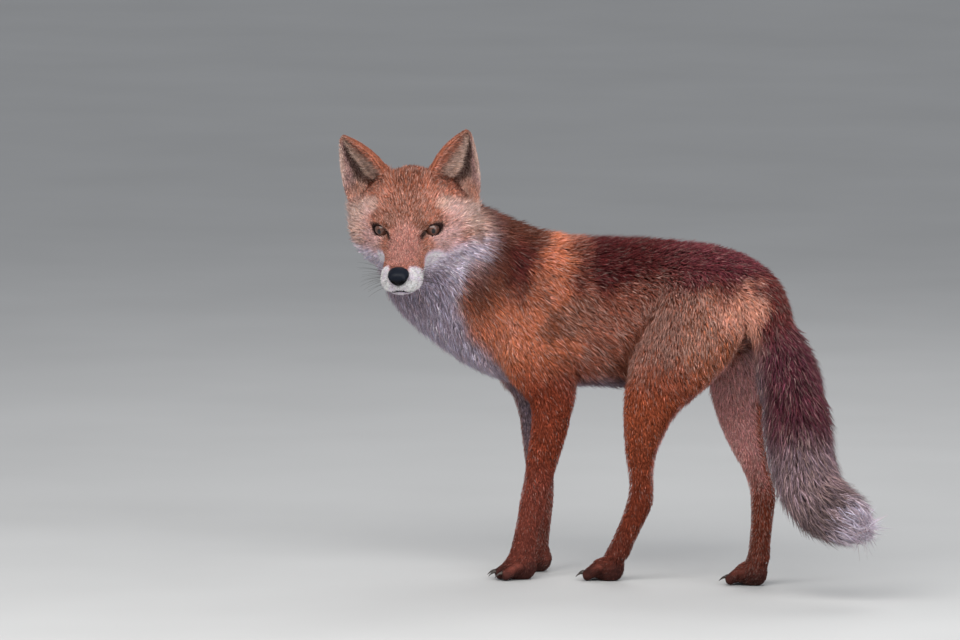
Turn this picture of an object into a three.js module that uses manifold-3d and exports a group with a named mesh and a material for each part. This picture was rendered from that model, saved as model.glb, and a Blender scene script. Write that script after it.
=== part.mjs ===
// A red fox in its short summer coat, standing still and life size, in millimetres, +Z up.
// It faces -X with its left side towards -Y. Its body curves to the left, its head looks back over
// the left shoulder, the left hind leg is a step forward and the tail hangs to the left behind it.
// Every solid reaches to the tips of the coat. The flesh is parted by thin cuts where the neck, the
// trunk, the legs and the tail divide, and the eyes, the nose, the ears and the jaw are set in it.
import * as THREE from "three";
import { mergeVertices } from "three/addons/utils/BufferGeometryUtils.js";
import Module from "manifold-3d";

// ---- Driving dimensions ----
const CUT = 0.4; // gap between two nodes of one body
const BODY_TURN = 30; // degrees from the shoulders' own axis to the row's X axis
const BODY_SIDES = 14;
const LEG_SIDES = 12;
const HEAD_SIDES = 24;
const HEAD_RINGS = 19;

const HEAD_AT = [-210, -100, 386]; // between the two irises
const HEAD_YAW = 81; // degrees that the face is turned to the left of the shoulders
const HEAD_PITCH = 20; // degrees that the face looks down
const HEAD_ROLL = 1.5; // degrees that the left ear is lifted
const EYE_RADIUS = 9.6;
const EYE_SPACING = 59.6; // from iris to iris
const EYE_OUT = 18; // degrees that each eye looks outward
const EYE_UP = 0.04; // how much it looks up
const EYE_OPENING = [8.5, 9.1, 6.6]; // deep, and half as wide and as high as the lids' opening
const EYE_SLANT = 14; // degrees that the outer corner is lifted
const NOSE_AHEAD = 67; // from the irises to the middle of the nose pad
const NOSE_BELOW = 22;
const NOSE = { reach: [9.5, 11.2, 8.8], way: [1, 0, -0.35] };
const NOSE_SIDES = 11;
const NOSTRIL = { at: [7.5, 6.2, -1], reach: [4.2, 2, 2.6], way: [1, 0.9, -0.1] };
const MOUTH_BELOW = 43; // from the irises down to the lips' meeting
const JAW_BACK = -6; // where the jaw's cut ends, behind the irises
const JAW_SIDE = 19; // half the width of the jaw's cut
const JAW_BLOCK = 90; // past the lips and the chin

const wasm = await Module();
wasm.setup();

// ---- Numbers along a list of stations ----
const V = (x, y, z) => new THREE.Vector3(x, y, z);
const radians = THREE.MathUtils.degToRad;

// The Catmull-Rom blend of equally long lists of numbers, at place t along the list of them.
function along(lists, t) {
  const i = Math.min(Math.max(Math.floor(t), 0), lists.length - 2);
  const u = t - i;
  const at = (k) => lists[Math.min(Math.max(k, 0), lists.length - 1)];
  const [p, q, r, s] = [at(i - 1), at(i), at(i + 1), at(i + 2)];
  return q.map((_, n) => {
    const rise = (r[n] - p[n]) / 2;
    const fall = (s[n] - q[n]) / 2;
    const cubic = 2 * q[n] - 2 * r[n] + rise + fall;
    const square = -3 * q[n] + 3 * r[n] - 2 * rise - fall;
    return ((cubic * u + square) * u + rise) * u + q[n];
  });
}

// ---- Meshes and solids ----
function solidFrom(positions, faces) {
  const mesh = new wasm.Mesh({
    numProp: 3,
    vertProperties: new Float32Array(positions.flatMap((p) => p.toArray())),
    triVerts: new Uint32Array(faces.flat()),
  });
  return new wasm.Manifold(mesh);
}

function solidOf(geometry) {
  const bare = geometry.clone();
  for (const name of ["normal", "uv"]) bare.deleteAttribute(name);
  const merged = mergeVertices(bare, 1e-3);
  return new wasm.Manifold(
    new wasm.Mesh({
      numProp: 3,
      vertProperties: new Float32Array(merged.attributes.position.array),
      triVerts: new Uint32Array(merged.index.array),
    }),
  );
}

function geometryOf(solid) {
  const mesh = solid.getMesh();
  const geometry = new THREE.BufferGeometry();
  const position = new THREE.BufferAttribute(new Float32Array(mesh.vertProperties), 3);
  geometry.setAttribute("position", position);
  geometry.setIndex(new THREE.BufferAttribute(new Uint32Array(mesh.triVerts), 1));
  const shaded = geometry.toNonIndexed();
  shaded.computeVertexNormals();
  return shaded;
}

// Rings of points, each with the same number, joined into one closed solid with a fan at each end.
function ringSolid(rings, first, last) {
  const sides = rings[0].length;
  const positions = [...rings.flat(), first, last];
  const [start, end] = [positions.length - 2, positions.length - 1];
  const faces = [];
  for (let i = 0; i < sides; i++) {
    const j = (i + 1) % sides;
    faces.push([start, j, i]);
    const top = (rings.length - 1) * sides;
    faces.push([end, top + i, top + j]);
    for (let k = 0; k < rings.length - 1; k++) {
      const [a, b] = [k * sides, (k + 1) * sides];
      faces.push([a + i, a + j, b + j], [a + i, b + j, b + i]);
    }
  }
  return outward(positions, faces);
}

// A bent plate between an outer and an inner grid of points, closed along its edges.
function plateSolid(outer, inner) {
  const [rows, columns] = [outer.length, outer[0].length];
  const positions = [...outer.flat(), ...inner.flat()];
  const at = (face, i, j) => face * rows * columns + i * columns + j;
  const faces = [];
  const quad = (a, b, c, d) => faces.push([a, b, c], [a, c, d]);
  for (let i = 0; i < rows - 1; i++) {
    for (let j = 0; j < columns - 1; j++) {
      quad(at(0, i, j), at(0, i, j + 1), at(0, i + 1, j + 1), at(0, i + 1, j));
      quad(at(1, i, j), at(1, i + 1, j), at(1, i + 1, j + 1), at(1, i, j + 1));
    }
    quad(at(0, i, 0), at(0, i + 1, 0), at(1, i + 1, 0), at(1, i, 0));
    const j = columns - 1;
    quad(at(0, i + 1, j), at(0, i, j), at(1, i, j), at(1, i + 1, j));
  }
  for (let j = 0; j < columns - 1; j++) {
    quad(at(0, 0, j + 1), at(0, 0, j), at(1, 0, j), at(1, 0, j + 1));
    const i = rows - 1;
    quad(at(0, i, j), at(0, i, j + 1), at(1, i, j + 1), at(1, i, j));
  }
  return outward(positions, faces);
}

function outward(positions, faces) {
  const made = solidFrom(positions, faces);
  return made.volume() > 0 ? made : solidFrom(positions, faces.map(([a, b, c]) => [a, c, b]));
}

// The largest body of a solid, without the splinters that a cut leaves.
function largest(solid) {
  return solid.decompose().reduce((best, body) => (body.volume() > best.volume() ? body : best));
}

function middle(ring) {
  const sum = ring.reduce((total, p) => total.add(p), V(0, 0, 0));
  return sum.divideScalar(ring.length);
}

// A ball squeezed to three radii and turned so that its first axis points along `heading`.
function ellipsoid(at, radii, heading = V(1, 0, 0), segments = 12) {
  const shape = new THREE.SphereGeometry(1, segments, Math.round(segments * 0.7));
  shape.rotateX(Math.PI / 2);
  shape.scale(...radii);
  shape.applyQuaternion(facing(heading));
  shape.translate(at.x, at.y, at.z);
  return solidOf(shape);
}

// The turn that takes +X to `heading` and keeps +Z as upright as it can be.
function facing(heading) {
  const x = heading.clone().normalize();
  const upright = Math.abs(x.z) > 0.99 ? V(-x.z, 0, 0) : V(0, 0, 1);
  const y = upright.cross(x).normalize();
  const z = x.clone().cross(y);
  return new THREE.Quaternion().setFromRotationMatrix(new THREE.Matrix4().makeBasis(x, y, z));
}

// The half-space on the side of a plane that its normal points away from, as a large box.
function sideOf(point, normal) {
  const size = 1000;
  const box = new THREE.BoxGeometry(size, size, size);
  box.translate(-size / 2, 0, 0);
  box.applyQuaternion(facing(normal));
  box.translate(point.x, point.y, point.z);
  return solidOf(box);
}

// ---- Flesh swept along a line of stations ----
// Each station is { at, reach }: a point of the middle line, and how far the coat reaches from it
// towards `front`, away from it, and to each side. `full` above 2 makes the section squarer.
function ringAt(stations, t, { front, sides, grow = 0, full = 2 }) {
  const lists = stations.map(({ at, reach }) => [...at, ...reach]);
  const [x, y, z, ahead, behind, side] = along(lists, t);
  const step = 0.02;
  const [back, on] = [along(lists, t - step), along(lists, t + step)];
  const tangent = V(on[0] - back[0], on[1] - back[1], on[2] - back[2]).normalize();
  const up = front.clone().addScaledVector(tangent, -front.dot(tangent)).normalize();
  const left = tangent.clone().cross(up);
  const power = 2 / full;
  return Array.from({ length: sides }, (_, i) => {
    const angle = (2 * Math.PI * i) / sides;
    const [c, s] = [Math.cos(angle), Math.sin(angle)];
    const rise = Math.sign(c) * Math.abs(c) ** power * ((c > 0 ? ahead : behind) + grow);
    const out = Math.sign(s) * Math.abs(s) ** power * (side + grow);
    return V(x, y, z).addScaledVector(up, rise).addScaledVector(left, out);
  });
}

function sweep(stations, from, to, rings, style) {
  const made = Array.from({ length: rings + 1 }, (_, k) =>
    ringAt(stations, from + ((to - from) * k) / rings, style),
  );
  return ringSolid(made, middle(made[0]), middle(made[rings]));
}

// The same sweep in named lengths, each beginning CUT past the end of the one before it.
function sweepInParts(stations, parts, style) {
  const place = (name) => stations.findIndex((one) => one.name === name);
  return Object.fromEntries(
    parts.map(({ name, from, to, rings }) => {
      const start = place(from);
      const spacing = V(...stations[start].at).distanceTo(V(...stations[start + 1].at));
      const gap = start > 0 && !style.grow ? CUT / spacing : 0;
      return [name, sweep(stations, start + gap, place(to), rings, style)];
    }),
  );
}

// The room that a sweep's neighbours leave for it.
function roomFor(stations, parts, style) {
  const grown = Object.values(sweepInParts(stations, parts, { ...style, grow: CUT }));
  return grown.reduce((sum, solid) => sum.add(solid));
}

// ---- Neck, trunk and tail ----
const station = (name, at, reach) => ({ name, at, reach });

// From the back of the skull to the tail's tip: where the middle of the flesh is, and how far the
// coat reaches above, below and to each side.
const SPINE = [
  station("skull", [-208, -66, 392], [36, 76, 41]),
  station("nape", [-187, -36, 375], [52, 84, 50]),
  station("throat", [-156, -15, 349], [66, 89, 53]),
  station("collar", [-121, -3, 322], [74, 90, 53]),
  station("breast", [-88, 0, 302], [82, 92, 52]),
  station("withers", [-50, -2, 291], [85, 86, 54]),
  station("ribs", [-5, -7, 289], [83, 83, 56]),
  station("barrel", [43, -26, 289], [84, 82, 56]),
  station("flank", [82, -50, 295], [78, 76, 52]),
  station("loin", [112, -73, 303], [69, 64, 50]),
  station("croup", [143, -100, 309], [56.5, 52, 49]),
  station("rump", [164, -120, 310], [40.5, 42, 40]),
  station("root", [176, -134, 302], [29, 31, 29]),
  station("dock", [184, -144, 284], [26, 27, 26]),
  station("fall", [195, -155, 258], [31, 31, 31]),
  station("brush", [205, -172, 219], [37, 39, 36]),
  station("fullest", [211, -188, 181], [36.5, 39, 37]),
  station("bend", [215, -200, 151], [34, 37, 35]),
  station("sweep", [223, -214, 121], [33, 35, 34]),
  station("trail", [240, -230, 100], [33, 33, 33]),
  station("wisp", [261, -246, 89], [32, 29, 29]),
  station("point", [276, -257, 81], [24, 19, 20]),
  station("tip", [285, -264, 77], [9, 7, 8]),
];

const SPINE_PARTS = [
  { name: "neck", from: "skull", to: "collar", rings: 5 },
  { name: "chest", from: "collar", to: "ribs", rings: 5 },
  { name: "belly", from: "ribs", to: "loin", rings: 5 },
  { name: "rump", from: "loin", to: "dock", rings: 6 },
  { name: "tail_base", from: "dock", to: "brush", rings: 4 },
  { name: "tail_middle", from: "brush", to: "sweep", rings: 5 },
  { name: "tail_tip", from: "sweep", to: "tip", rings: 7 },
];

const SPINE_STYLE = { front: V(0, 0, 1), sides: BODY_SIDES, full: 2.15 };

// ---- Legs ----
// Each leg runs from high on the trunk to the top of its paw. `heading` is the way that the limb
// faces, and the reach is ahead, behind and to each side.
const LEGS = {
  fore_left: {
    heading: V(-1, 0, 0),
    paw: { at: [-88, -38], heading: V(-1, -0.08, 0) },
    parts: [
      { name: "shoulder_left", from: "blade", to: "elbow", rings: 6 },
      { name: "forearm_left", from: "elbow", to: "wrist", rings: 5 },
      { name: "forefoot_left", from: "wrist", to: "ankle", rings: 3 },
    ],
    stations: [
      station("blade", [-38, -20, 350], [14, 18, 7]),
      station("spine", [-55, -34, 322], [30, 35, 19]),
      station("joint", [-74, -38, 282], [38, 44, 27]),
      station("arm", [-68, -38, 244], [42, 43, 27]),
      station("elbow", [-54, -39, 212], [33, 29, 22]),
      station("muscle", [-51, -39, 186], [23, 22, 18]),
      station("shaft", [-58, -38, 150], [20.5, 20, 16]),
      station("taper", [-66, -37, 116], [16.5, 16.5, 13.5]),
      station("wrist", [-73, -36, 84], [15, 15, 13]),
      station("pastern", [-80, -36, 52], [13, 13.5, 13]),
      station("ankle", [-85, -37, 22], [15, 13, 15]),
    ],
  },
  fore_right: {
    heading: V(-1, 0, 0),
    paw: { at: [-71, 33], heading: V(-1, 0.1, 0) },
    parts: [
      { name: "shoulder_right", from: "blade", to: "elbow", rings: 6 },
      { name: "forearm_right", from: "elbow", to: "wrist", rings: 5 },
      { name: "forefoot_right", from: "wrist", to: "ankle", rings: 3 },
    ],
    stations: [
      station("blade", [-46, 20, 350], [14, 18, 7]),
      station("spine", [-63, 33, 320], [30, 34, 19]),
      station("joint", [-82, 36, 280], [38, 42, 27]),
      station("arm", [-76, 37, 243], [43, 42, 27]),
      station("elbow", [-63, 38, 212], [44, 29, 22]),
      station("muscle", [-62, 38, 186], [30, 22, 18]),
      station("shaft", [-65, 36, 150], [21.5, 20, 16]),
      station("taper", [-65, 35, 116], [16.5, 16.5, 13.5]),
      station("wrist", [-64, 34, 84], [15, 15, 13]),
      station("pastern", [-66, 33, 52], [13, 13.5, 13]),
      station("ankle", [-69, 33, 22], [15, 13, 15]),
    ],
  },
  hind_left: {
    heading: V(-0.766, 0.643, 0),
    paw: { at: [8, -49], heading: V(-0.85, 0.5, 0) },
    parts: [
      { name: "thigh_left", from: "hip", to: "knee", rings: 6 },
      { name: "shank_left", from: "knee", to: "hock", rings: 6 },
      { name: "hindfoot_left", from: "hock", to: "ankle", rings: 3 },
    ],
    stations: [
      station("hip", [127, -108, 336], [20, 20, 9]),
      station("socket", [114, -117, 310], [56, 58, 25]),
      station("ham", [98, -110, 276], [64, 62, 30]),
      station("stifle", [73, -97, 238], [52, 51, 28]),
      station("knee", [54, -87, 202], [34, 37, 22]),
      station("calf", [47, -82, 170], [27, 28, 18]),
      station("gaskin", [43, -78, 140], [19, 19.5, 14]),
      station("tendon", [44, -75, 114], [15.5, 15.5, 11.5]),
      station("hock", [43.5, -73, 91], [15.5, 17, 12.5]),
      station("cannon", [32, -65, 60], [13, 13, 11.5]),
      station("ankle", [16, -54, 22], [14, 13, 14]),
    ],
  },
  hind_right: {
    heading: V(-0.766, 0.643, 0),
    paw: { at: [163, -90], heading: V(-0.8, 0.6, 0) },
    parts: [
      { name: "thigh_right", from: "hip", to: "knee", rings: 6 },
      { name: "shank_right", from: "knee", to: "hock", rings: 6 },
      { name: "hindfoot_right", from: "hock", to: "ankle", rings: 3 },
    ],
    stations: [
      station("hip", [154, -80, 336], [20, 20, 9]),
      station("socket", [163, -64, 308], [54, 49, 24]),
      station("ham", [159, -59, 272], [56, 52, 30]),
      station("stifle", [150, -54, 234], [44, 46, 28]),
      station("knee", [147, -53, 201], [29, 36, 22]),
      station("calf", [153, -64, 172], [25, 28, 18]),
      station("gaskin", [162, -79, 144], [19, 19.5, 14]),
      station("tendon", [171, -92, 120], [15.5, 15.5, 11.5]),
      station("hock", [176, -99, 97], [15.5, 16.5, 12.5]),
      station("cannon", [174, -97, 60], [13, 11.5, 11.5]),
      station("ankle", [171, -95, 22], [14, 13, 14]),
    ],
  },
};

// ---- Paws ----
// A paw is a block under the leg with four toes, each rising to its knuckle and ending in a claw.
// Lengths run forward from the leg's middle, and heights up from the floor.
const PAW_TOP = 24; // where the paw parts from the foot above it
const PAW_BLOCK = { ahead: -1.5, height: 14, reach: [19.5, 16, 16.5] };
const TOES = [
  { side: -12.5, ahead: -5, turn: 14 },
  { side: -4.9, ahead: 0, turn: 4 },
  { side: 4.9, ahead: 0, turn: -4 },
  { side: 12.5, ahead: -5, turn: -14 },
];
const TOE = [
  { ahead: 2, height: 15, reach: [6, 6, 5.4] },
  { ahead: 11, height: 14, reach: [6.6, 7, 6.3] },
  { ahead: 19.5, height: 8, reach: [6.4, 8, 6.5] },
  { ahead: 26, height: 6, reach: [4.6, 6, 4.8] },
];
const PAW_SIDES = 9;
const TOE_SIDES = 6;
const TOE_RINGS = 4;
const CLAW = { ahead: 29.5, height: 7.4, length: 8.5, radius: 2, droop: 24 };

// One toe and its claw, in a frame whose X runs forward from the leg's middle.
function toe({ side, ahead, turn }) {
  const stations = TOE.map((one) => ({ at: [one.ahead, 0, one.height], reach: one.reach }));
  const style = { front: V(0, 0, 1), sides: TOE_SIDES };
  const digit = sweep(stations, 0, TOE.length - 1, TOE_RINGS, style);
  const claw = new THREE.ConeGeometry(CLAW.radius, CLAW.length, 4);
  claw.rotateZ(-Math.PI / 2);
  claw.rotateY(radians(CLAW.droop));
  claw.translate(CLAW.ahead, 0, CLAW.height);
  return digit.add(solidOf(claw)).rotate(0, 0, -turn).translate(ahead, side, 0);
}

// A paw standing on Z = 0.
function paw({ at, heading }) {
  const { ahead, height, reach } = PAW_BLOCK;
  const block = ellipsoid(V(ahead, 0, height), reach, V(1, 0, 0), PAW_SIDES);
  const whole = TOES.reduce((sum, one) => sum.add(toe(one)), block);
  const turn = new THREE.Matrix4().makeRotationFromQuaternion(facing(heading));
  const placed = whole.transform(turn.elements).translate(...at, 0);
  return placed.intersect(sideOf(V(0, 0, 0), V(0, 0, -1)));
}

// ---- Head ----
// The head's own frame: +X out of the face, +Y to its left, +Z up, with its origin between the irises.
const HEAD_TURN = new THREE.Matrix4()
  .makeTranslation(...HEAD_AT)
  .multiply(new THREE.Matrix4().makeRotationZ(radians(180 + HEAD_YAW)))
  .multiply(new THREE.Matrix4().makeRotationY(radians(HEAD_PITCH)))
  .multiply(new THREE.Matrix4().makeRotationX(radians(HEAD_ROLL)));

const inHead = (solid) => solid.transform(HEAD_TURN.elements);

// The head's outline from its back to its lips: how far ahead of the irises each section stands,
// its top and bottom, how wide it is on each side, the height where it is widest, and how much its
// upper part is drawn in between the ears.
const section = (name, ahead, top, bottom, side, widest, drawn = 1) => ({
  name,
  sizes: [ahead, top, bottom, side, widest, drawn],
});
const HEAD_FULLNESS = 0.92; // below 1 makes the lower part of each section squarer
const HEAD_BULGE = 4; // how far its two ends stand out
const HEAD_SECTIONS = [
  section("occiput", -94, 12, -40, 22, -12),
  section("back", -84, 32, -56, 45, -13, 1.1),
  section("ruff_back", -70, 45, -64, 61, -13, 1.22),
  section("ruff", -53, 53, -68, 70, -12, 1.27),
  section("crown", -38, 51.5, -68, 69, -15, 1.24),
  section("jowl", -24, 43, -65, 60, -19, 1.2),
  section("temple", -12, 30, -60, 46, -20, 1.15),
  section("brow", -2, 21, -56, 35, -14),
  section("stop", 8, 10, -54, 28, -17),
  section("bridge", 20, 1, -53.5, 23.5, -25),
  section("muzzle", 34, -4.5, -53, 22, -30),
  section("whiskers", 48, -8.5, -51.5, 22.5, -34),
  section("lips", 60, -12, -48, 20.5, -35),
  section("lip_front", 68, -17, -43, 13.5, -34),
];

// Soft swellings and hollows of the face: where, how far they spread and how far they lift.
const FACE_FORMS = [
  { name: "eye_corner", at: [10, 17, -5], spread: 8, lift: -2.6 },
  { name: "brow", at: [-4, 25, 11], spread: 9, lift: 2.2 },
  { name: "cheekbone", at: [-6, 33, -12], spread: 12, lift: 2.2 },
  { name: "cheek_hollow", at: [14, 25, -32], spread: 12, lift: -2.6 },
  { name: "temple", at: [-22, 42, 24], spread: 15, lift: -3.5 },
  { name: "whisker_pad", at: [52, 17, -31], spread: 10, lift: 1.4 },
];

function faceLift(p) {
  return FACE_FORMS.reduce((sum, { at: [x, y, z], spread, lift }) => {
    const away = Math.hypot(p.x - x, Math.abs(p.y) - y, p.z - z) / spread;
    return sum + lift * Math.exp(-away * away);
  }, 0);
}

// A ring of the head around its own length at place t along the sections.
function headRing(t, grow) {
  const sizes = along(HEAD_SECTIONS.map((one) => one.sizes), t);
  const [x, top, bottom, side, widest, drawn] = sizes;
  return Array.from({ length: HEAD_SIDES }, (_, i) => {
    const angle = (2 * Math.PI * (i + 0.5)) / HEAD_SIDES;
    const [c, s] = [Math.cos(angle), Math.sin(angle)];
    const [full, rise] = c > 0 ? [drawn, top - widest] : [HEAD_FULLNESS, widest - bottom];
    const z = widest + Math.sign(c) * Math.abs(c) ** full * rise;
    const p = V(x, Math.sign(s) * Math.abs(s) ** full * side, z);
    return p.addScaledVector(V(0, s, c), faceLift(p) + grow);
  });
}

function headSolid(grow) {
  const last = HEAD_SECTIONS.length - 1;
  const rings = Array.from({ length: HEAD_RINGS + 1 }, (_, k) =>
    headRing((last * k) / HEAD_RINGS, grow),
  );
  const end = (ring, ahead) => middle(ring).add(V(ahead + Math.sign(ahead) * grow, 0, 0));
  return ringSolid(rings, end(rings[0], -HEAD_BULGE), end(rings[HEAD_RINGS], HEAD_BULGE));
}

// The eyes look outward and a little up, each in an almond opening between its lids.
function eyeGaze(mirror) {
  return V(Math.cos(radians(EYE_OUT)), mirror * Math.sin(radians(EYE_OUT)), EYE_UP).normalize();
}

function eyeCentre(mirror) {
  return V(0, (mirror * EYE_SPACING) / 2, 0).addScaledVector(eyeGaze(mirror), -EYE_RADIUS);
}

const eyeball = (mirror, grow) =>
  ellipsoid(eyeCentre(mirror), Array(3).fill(EYE_RADIUS + grow), eyeGaze(mirror), 12);

// The almond opening between the lids, its outer corner the higher one.
function eyeOpening(mirror) {
  const gaze = eyeGaze(mirror);
  const opening = new THREE.SphereGeometry(1, 10, 6);
  opening.scale(...EYE_OPENING);
  opening.rotateX(mirror * radians(EYE_SLANT));
  opening.applyQuaternion(facing(gaze));
  const at = eyeCentre(mirror).addScaledVector(gaze, EYE_RADIUS);
  opening.translate(at.x, at.y, at.z);
  return solidOf(opening);
}

// The block of the head under the mouth that makes the lower jaw.
function jawBlock(grow) {
  const [back, front, down] = [JAW_BACK - grow, JAW_BLOCK, -JAW_BLOCK];
  const size = [front - back, 2 * (JAW_SIDE + grow), -MOUTH_BELOW + grow - down];
  const block = new THREE.BoxGeometry(...size);
  block.translate(back + size[0] / 2, 0, down + size[2] / 2);
  return solidOf(block);
}

// The nose pad with its two nostrils, whose places are given from its middle.
function nose(grow) {
  const { reach, way } = NOSE;
  const at = V(NOSE_AHEAD, 0, -NOSE_BELOW);
  const pad = ellipsoid(at, reach.map((one) => one + grow), V(...way), NOSE_SIDES);
  if (grow) return pad;
  return [1, -1].reduce((left, mirror) => {
    const mirrored = ([x, y, z]) => V(x, mirror * y, z);
    const middle = at.clone().add(mirrored(NOSTRIL.at));
    return left.subtract(ellipsoid(middle, NOSTRIL.reach, mirrored(NOSTRIL.way), 7));
  }, pad);
}

// ---- Ears ----
// A pointed shell, open to the front, whose edges run from the crown and from the cheek to the tip
// and bow outward by the two distances on the way.
const EARS = {
  left: { mirror: 1, inner: [-38, 23, 48], outer: [-54, 67, 2], tip: [-48, 69.5, 97.5], bow: [8, 12] },
  right: { mirror: -1, inner: [-38, 24, 48], outer: [-54, 65, 0], tip: [-48, 72.5, 92], bow: [8.5, 12] },
};
const EAR_GRID = 7; // faces along the ear and across it
const EAR_THICK = 3.6; // at the root, and half of it at the tip
const EAR_DEPTH = 21; // how far the shell's back lies behind its edges
const EAR_CUP = 0.8; // below 1 makes the shell's back squarer
const EAR_CLOSE = 1.5; // above 1 keeps it deep for longer towards the tip
const EAR_ROOT = -0.15; // how far the ear goes down into the head, as a share of its length
const EAR_TIP = 0.955; // how far along its straight edges the ear is cut round
const EAR_ROWS = 1.5; // above 1 sets the rows of faces closer towards the tip
const EAR_ROUND = 0.75; // below 1 makes the bowed edges rounder at both ends

function ear({ mirror, inner, outer, tip, bow }) {
  const [a, b, t] = [inner, outer, tip].map(([x, y, z]) => V(x, y * mirror, z));
  const across = b.clone().sub(a).normalize();
  const rise = t.clone().sub(a.clone().lerp(b, 0.5)).normalize();
  const rear = across.clone().cross(rise).normalize();
  if (rear.x > 0) rear.negate();
  const grid = (thinner) =>
    Array.from({ length: EAR_GRID + 1 }, (_, i) => {
      const v = EAR_ROOT + (1 - (1 - i / EAR_GRID) ** EAR_ROWS) * (EAR_TIP - EAR_ROOT);
      const wave = Math.sin(Math.PI * v);
      const swell = Math.sign(wave) * Math.abs(wave) ** EAR_ROUND;
      const left = a.clone().lerp(t, v).addScaledVector(across, -bow[0] * swell);
      const right = b.clone().lerp(t, v).addScaledVector(across, bow[1] * swell);
      const rim = left.clone().lerp(right, 0.5);
      const thick = thinner * EAR_THICK * (1 - v / 2);
      const half = left.distanceTo(right) / 2 - thick;
      const depth = EAR_DEPTH * (1 - Math.max(v, 0) ** EAR_CLOSE) + EAR_THICK - thick;
      return Array.from({ length: EAR_GRID + 1 }, (_, j) => {
        const angle = Math.PI * (j / EAR_GRID);
        const p = rim.clone().addScaledVector(across, -half * Math.cos(angle));
        return p.addScaledVector(rear, depth * Math.sin(angle) ** EAR_CUP);
      });
    });
  return plateSolid(grid(0), grid(1));
}

// ---- Assembly ----
const COATS = {
  coat: { color: 0x8f4526, roughness: 0.85 },
  throat: { color: 0xb9aca6, roughness: 0.9 },
  brush: { color: 0x5f3230, roughness: 0.9 },
  leg: { color: 0x7a3018, roughness: 0.85 },
  ear: { color: 0x8a5233, roughness: 0.9 },
  nose: { color: 0x0d0d10, roughness: 0.35 },
  eye: { color: 0x3a1f10, roughness: 0.05 },
};

const fox = new THREE.Group();
fox.rotation.z = radians(BODY_TURN);

function add(name, solid, coat) {
  const material = new THREE.MeshStandardMaterial({ ...COATS[coat], metalness: 0 });
  const mesh = new THREE.Mesh(geometryOf(solid), material);
  mesh.name = name;
  fox.add(mesh);
}

function buildHead() {
  const eyes = [1, -1].map((mirror) => eyeball(mirror, 0));
  const hollow = [1, -1].map((mirror) => eyeball(mirror, CUT).add(eyeOpening(mirror)));
  const flesh = hollow.reduce((left, eye) => left.subtract(eye), headSolid(0));
  const shaped = flesh.subtract(nose(CUT));
  add("head", inHead(shaped.subtract(jawBlock(CUT))), "coat");
  add("lower_jaw", inHead(shaped.intersect(jawBlock(0))), "throat");
  add("nose", inHead(nose(0)), "nose");
  add("eye_left", inHead(eyes[0]), "eye");
  add("eye_right", inHead(eyes[1]), "eye");
  const room = inHead(headSolid(CUT));
  const neckRoom = roomFor(SPINE, SPINE_PARTS.slice(0, 2), SPINE_STYLE);
  for (const [side, shape] of Object.entries(EARS)) {
    const clear = inHead(ear(shape)).subtract(room).subtract(neckRoom);
    add(`ear_${side}`, largest(clear), "ear");
  }
  return room;
}

function buildLeg(name, { stations, parts, heading, paw: foot }) {
  const style = { front: heading, sides: LEG_SIDES };
  const [end, side] = name.split("_");
  const made = sweepInParts(stations, parts, style);
  for (const [part, solid] of Object.entries(made)) {
    add(part, solid.intersect(sideOf(V(0, 0, PAW_TOP), V(0, 0, -1))), "leg");
  }
  add(`${end}paw_${side}`, paw(foot).intersect(sideOf(V(0, 0, PAW_TOP - CUT), V(0, 0, 1))), "leg");
  return roomFor(stations, parts, style);
}

function buildSpine(rooms) {
  const parts = sweepInParts(SPINE, SPINE_PARTS, SPINE_STYLE);
  for (const [name, solid] of Object.entries(parts)) {
    const clear = rooms.reduce((left, room) => left.subtract(room), solid);
    add(name, largest(clear), name.startsWith("tail") ? "brush" : "coat");
  }
}

const headRoom = buildHead();
const legRooms = Object.entries(LEGS).map(([name, leg]) => buildLeg(name, leg));
buildSpine([headRoom, ...legRooms]);

// The middle of the fox's bounding box stands over the origin.
fox.updateMatrixWorld(true);
const box = new THREE.Box3().setFromObject(fox, true);
fox.position.set(-(box.min.x + box.max.x) / 2, -(box.min.y + box.max.y) / 2, -box.min.z);

export default fox;
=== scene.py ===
"""A red fox: one skin with its coat of tufts, and its eyes, nose, lips, whiskers and claws."""

import math

import bpy
import numpy as np
import openvdb as vdb
from mathutils import Matrix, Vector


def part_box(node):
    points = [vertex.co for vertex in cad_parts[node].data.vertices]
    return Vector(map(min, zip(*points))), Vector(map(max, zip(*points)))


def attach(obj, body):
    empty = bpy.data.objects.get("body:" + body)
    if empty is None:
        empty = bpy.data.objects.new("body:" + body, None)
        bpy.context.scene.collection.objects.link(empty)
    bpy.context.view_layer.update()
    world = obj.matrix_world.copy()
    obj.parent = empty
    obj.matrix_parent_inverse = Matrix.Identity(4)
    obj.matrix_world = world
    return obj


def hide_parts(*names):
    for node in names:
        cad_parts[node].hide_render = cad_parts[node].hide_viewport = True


MM = 0.001
UP = np.array([0, 0, 1.0])
BODY_TURN = math.radians(30)  # from the body's own axes, where it faces -X, to the row's
EYES_AT = np.array([-208.63, -91.4, 388.76])  # between the eyeballs, in the body's axes, mm
HEAD_AT = np.array([-210.0, -100.0, 386.0])  # between the irises
HEAD_TURN = np.array(
    Matrix.Rotation(math.radians(261), 3, "Z")
    @ Matrix.Rotation(math.radians(20), 3, "Y")
    @ Matrix.Rotation(math.radians(1.5), 3, "X")
)
# The rest of the face, in the head's own millimetres.
EYE_AT = (-0.6, 29.8)  # up and aside, to the middle of an iris
EYE_RADIUS = 9.6
EYE_OUT = math.radians(18)  # that each eye looks outward
EYE_UP = 0.04  # how much it looks up
LID_SLANT = math.radians(12)  # that the eye's outer corner is lifted
LID_OPEN = (8.6, 6.2)  # half the width and height of the opening between the lids
NOSE_AT = np.array([67, 0, -22.5])
NOSE_TILT = math.radians(18)  # that the nose pad leans back

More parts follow.
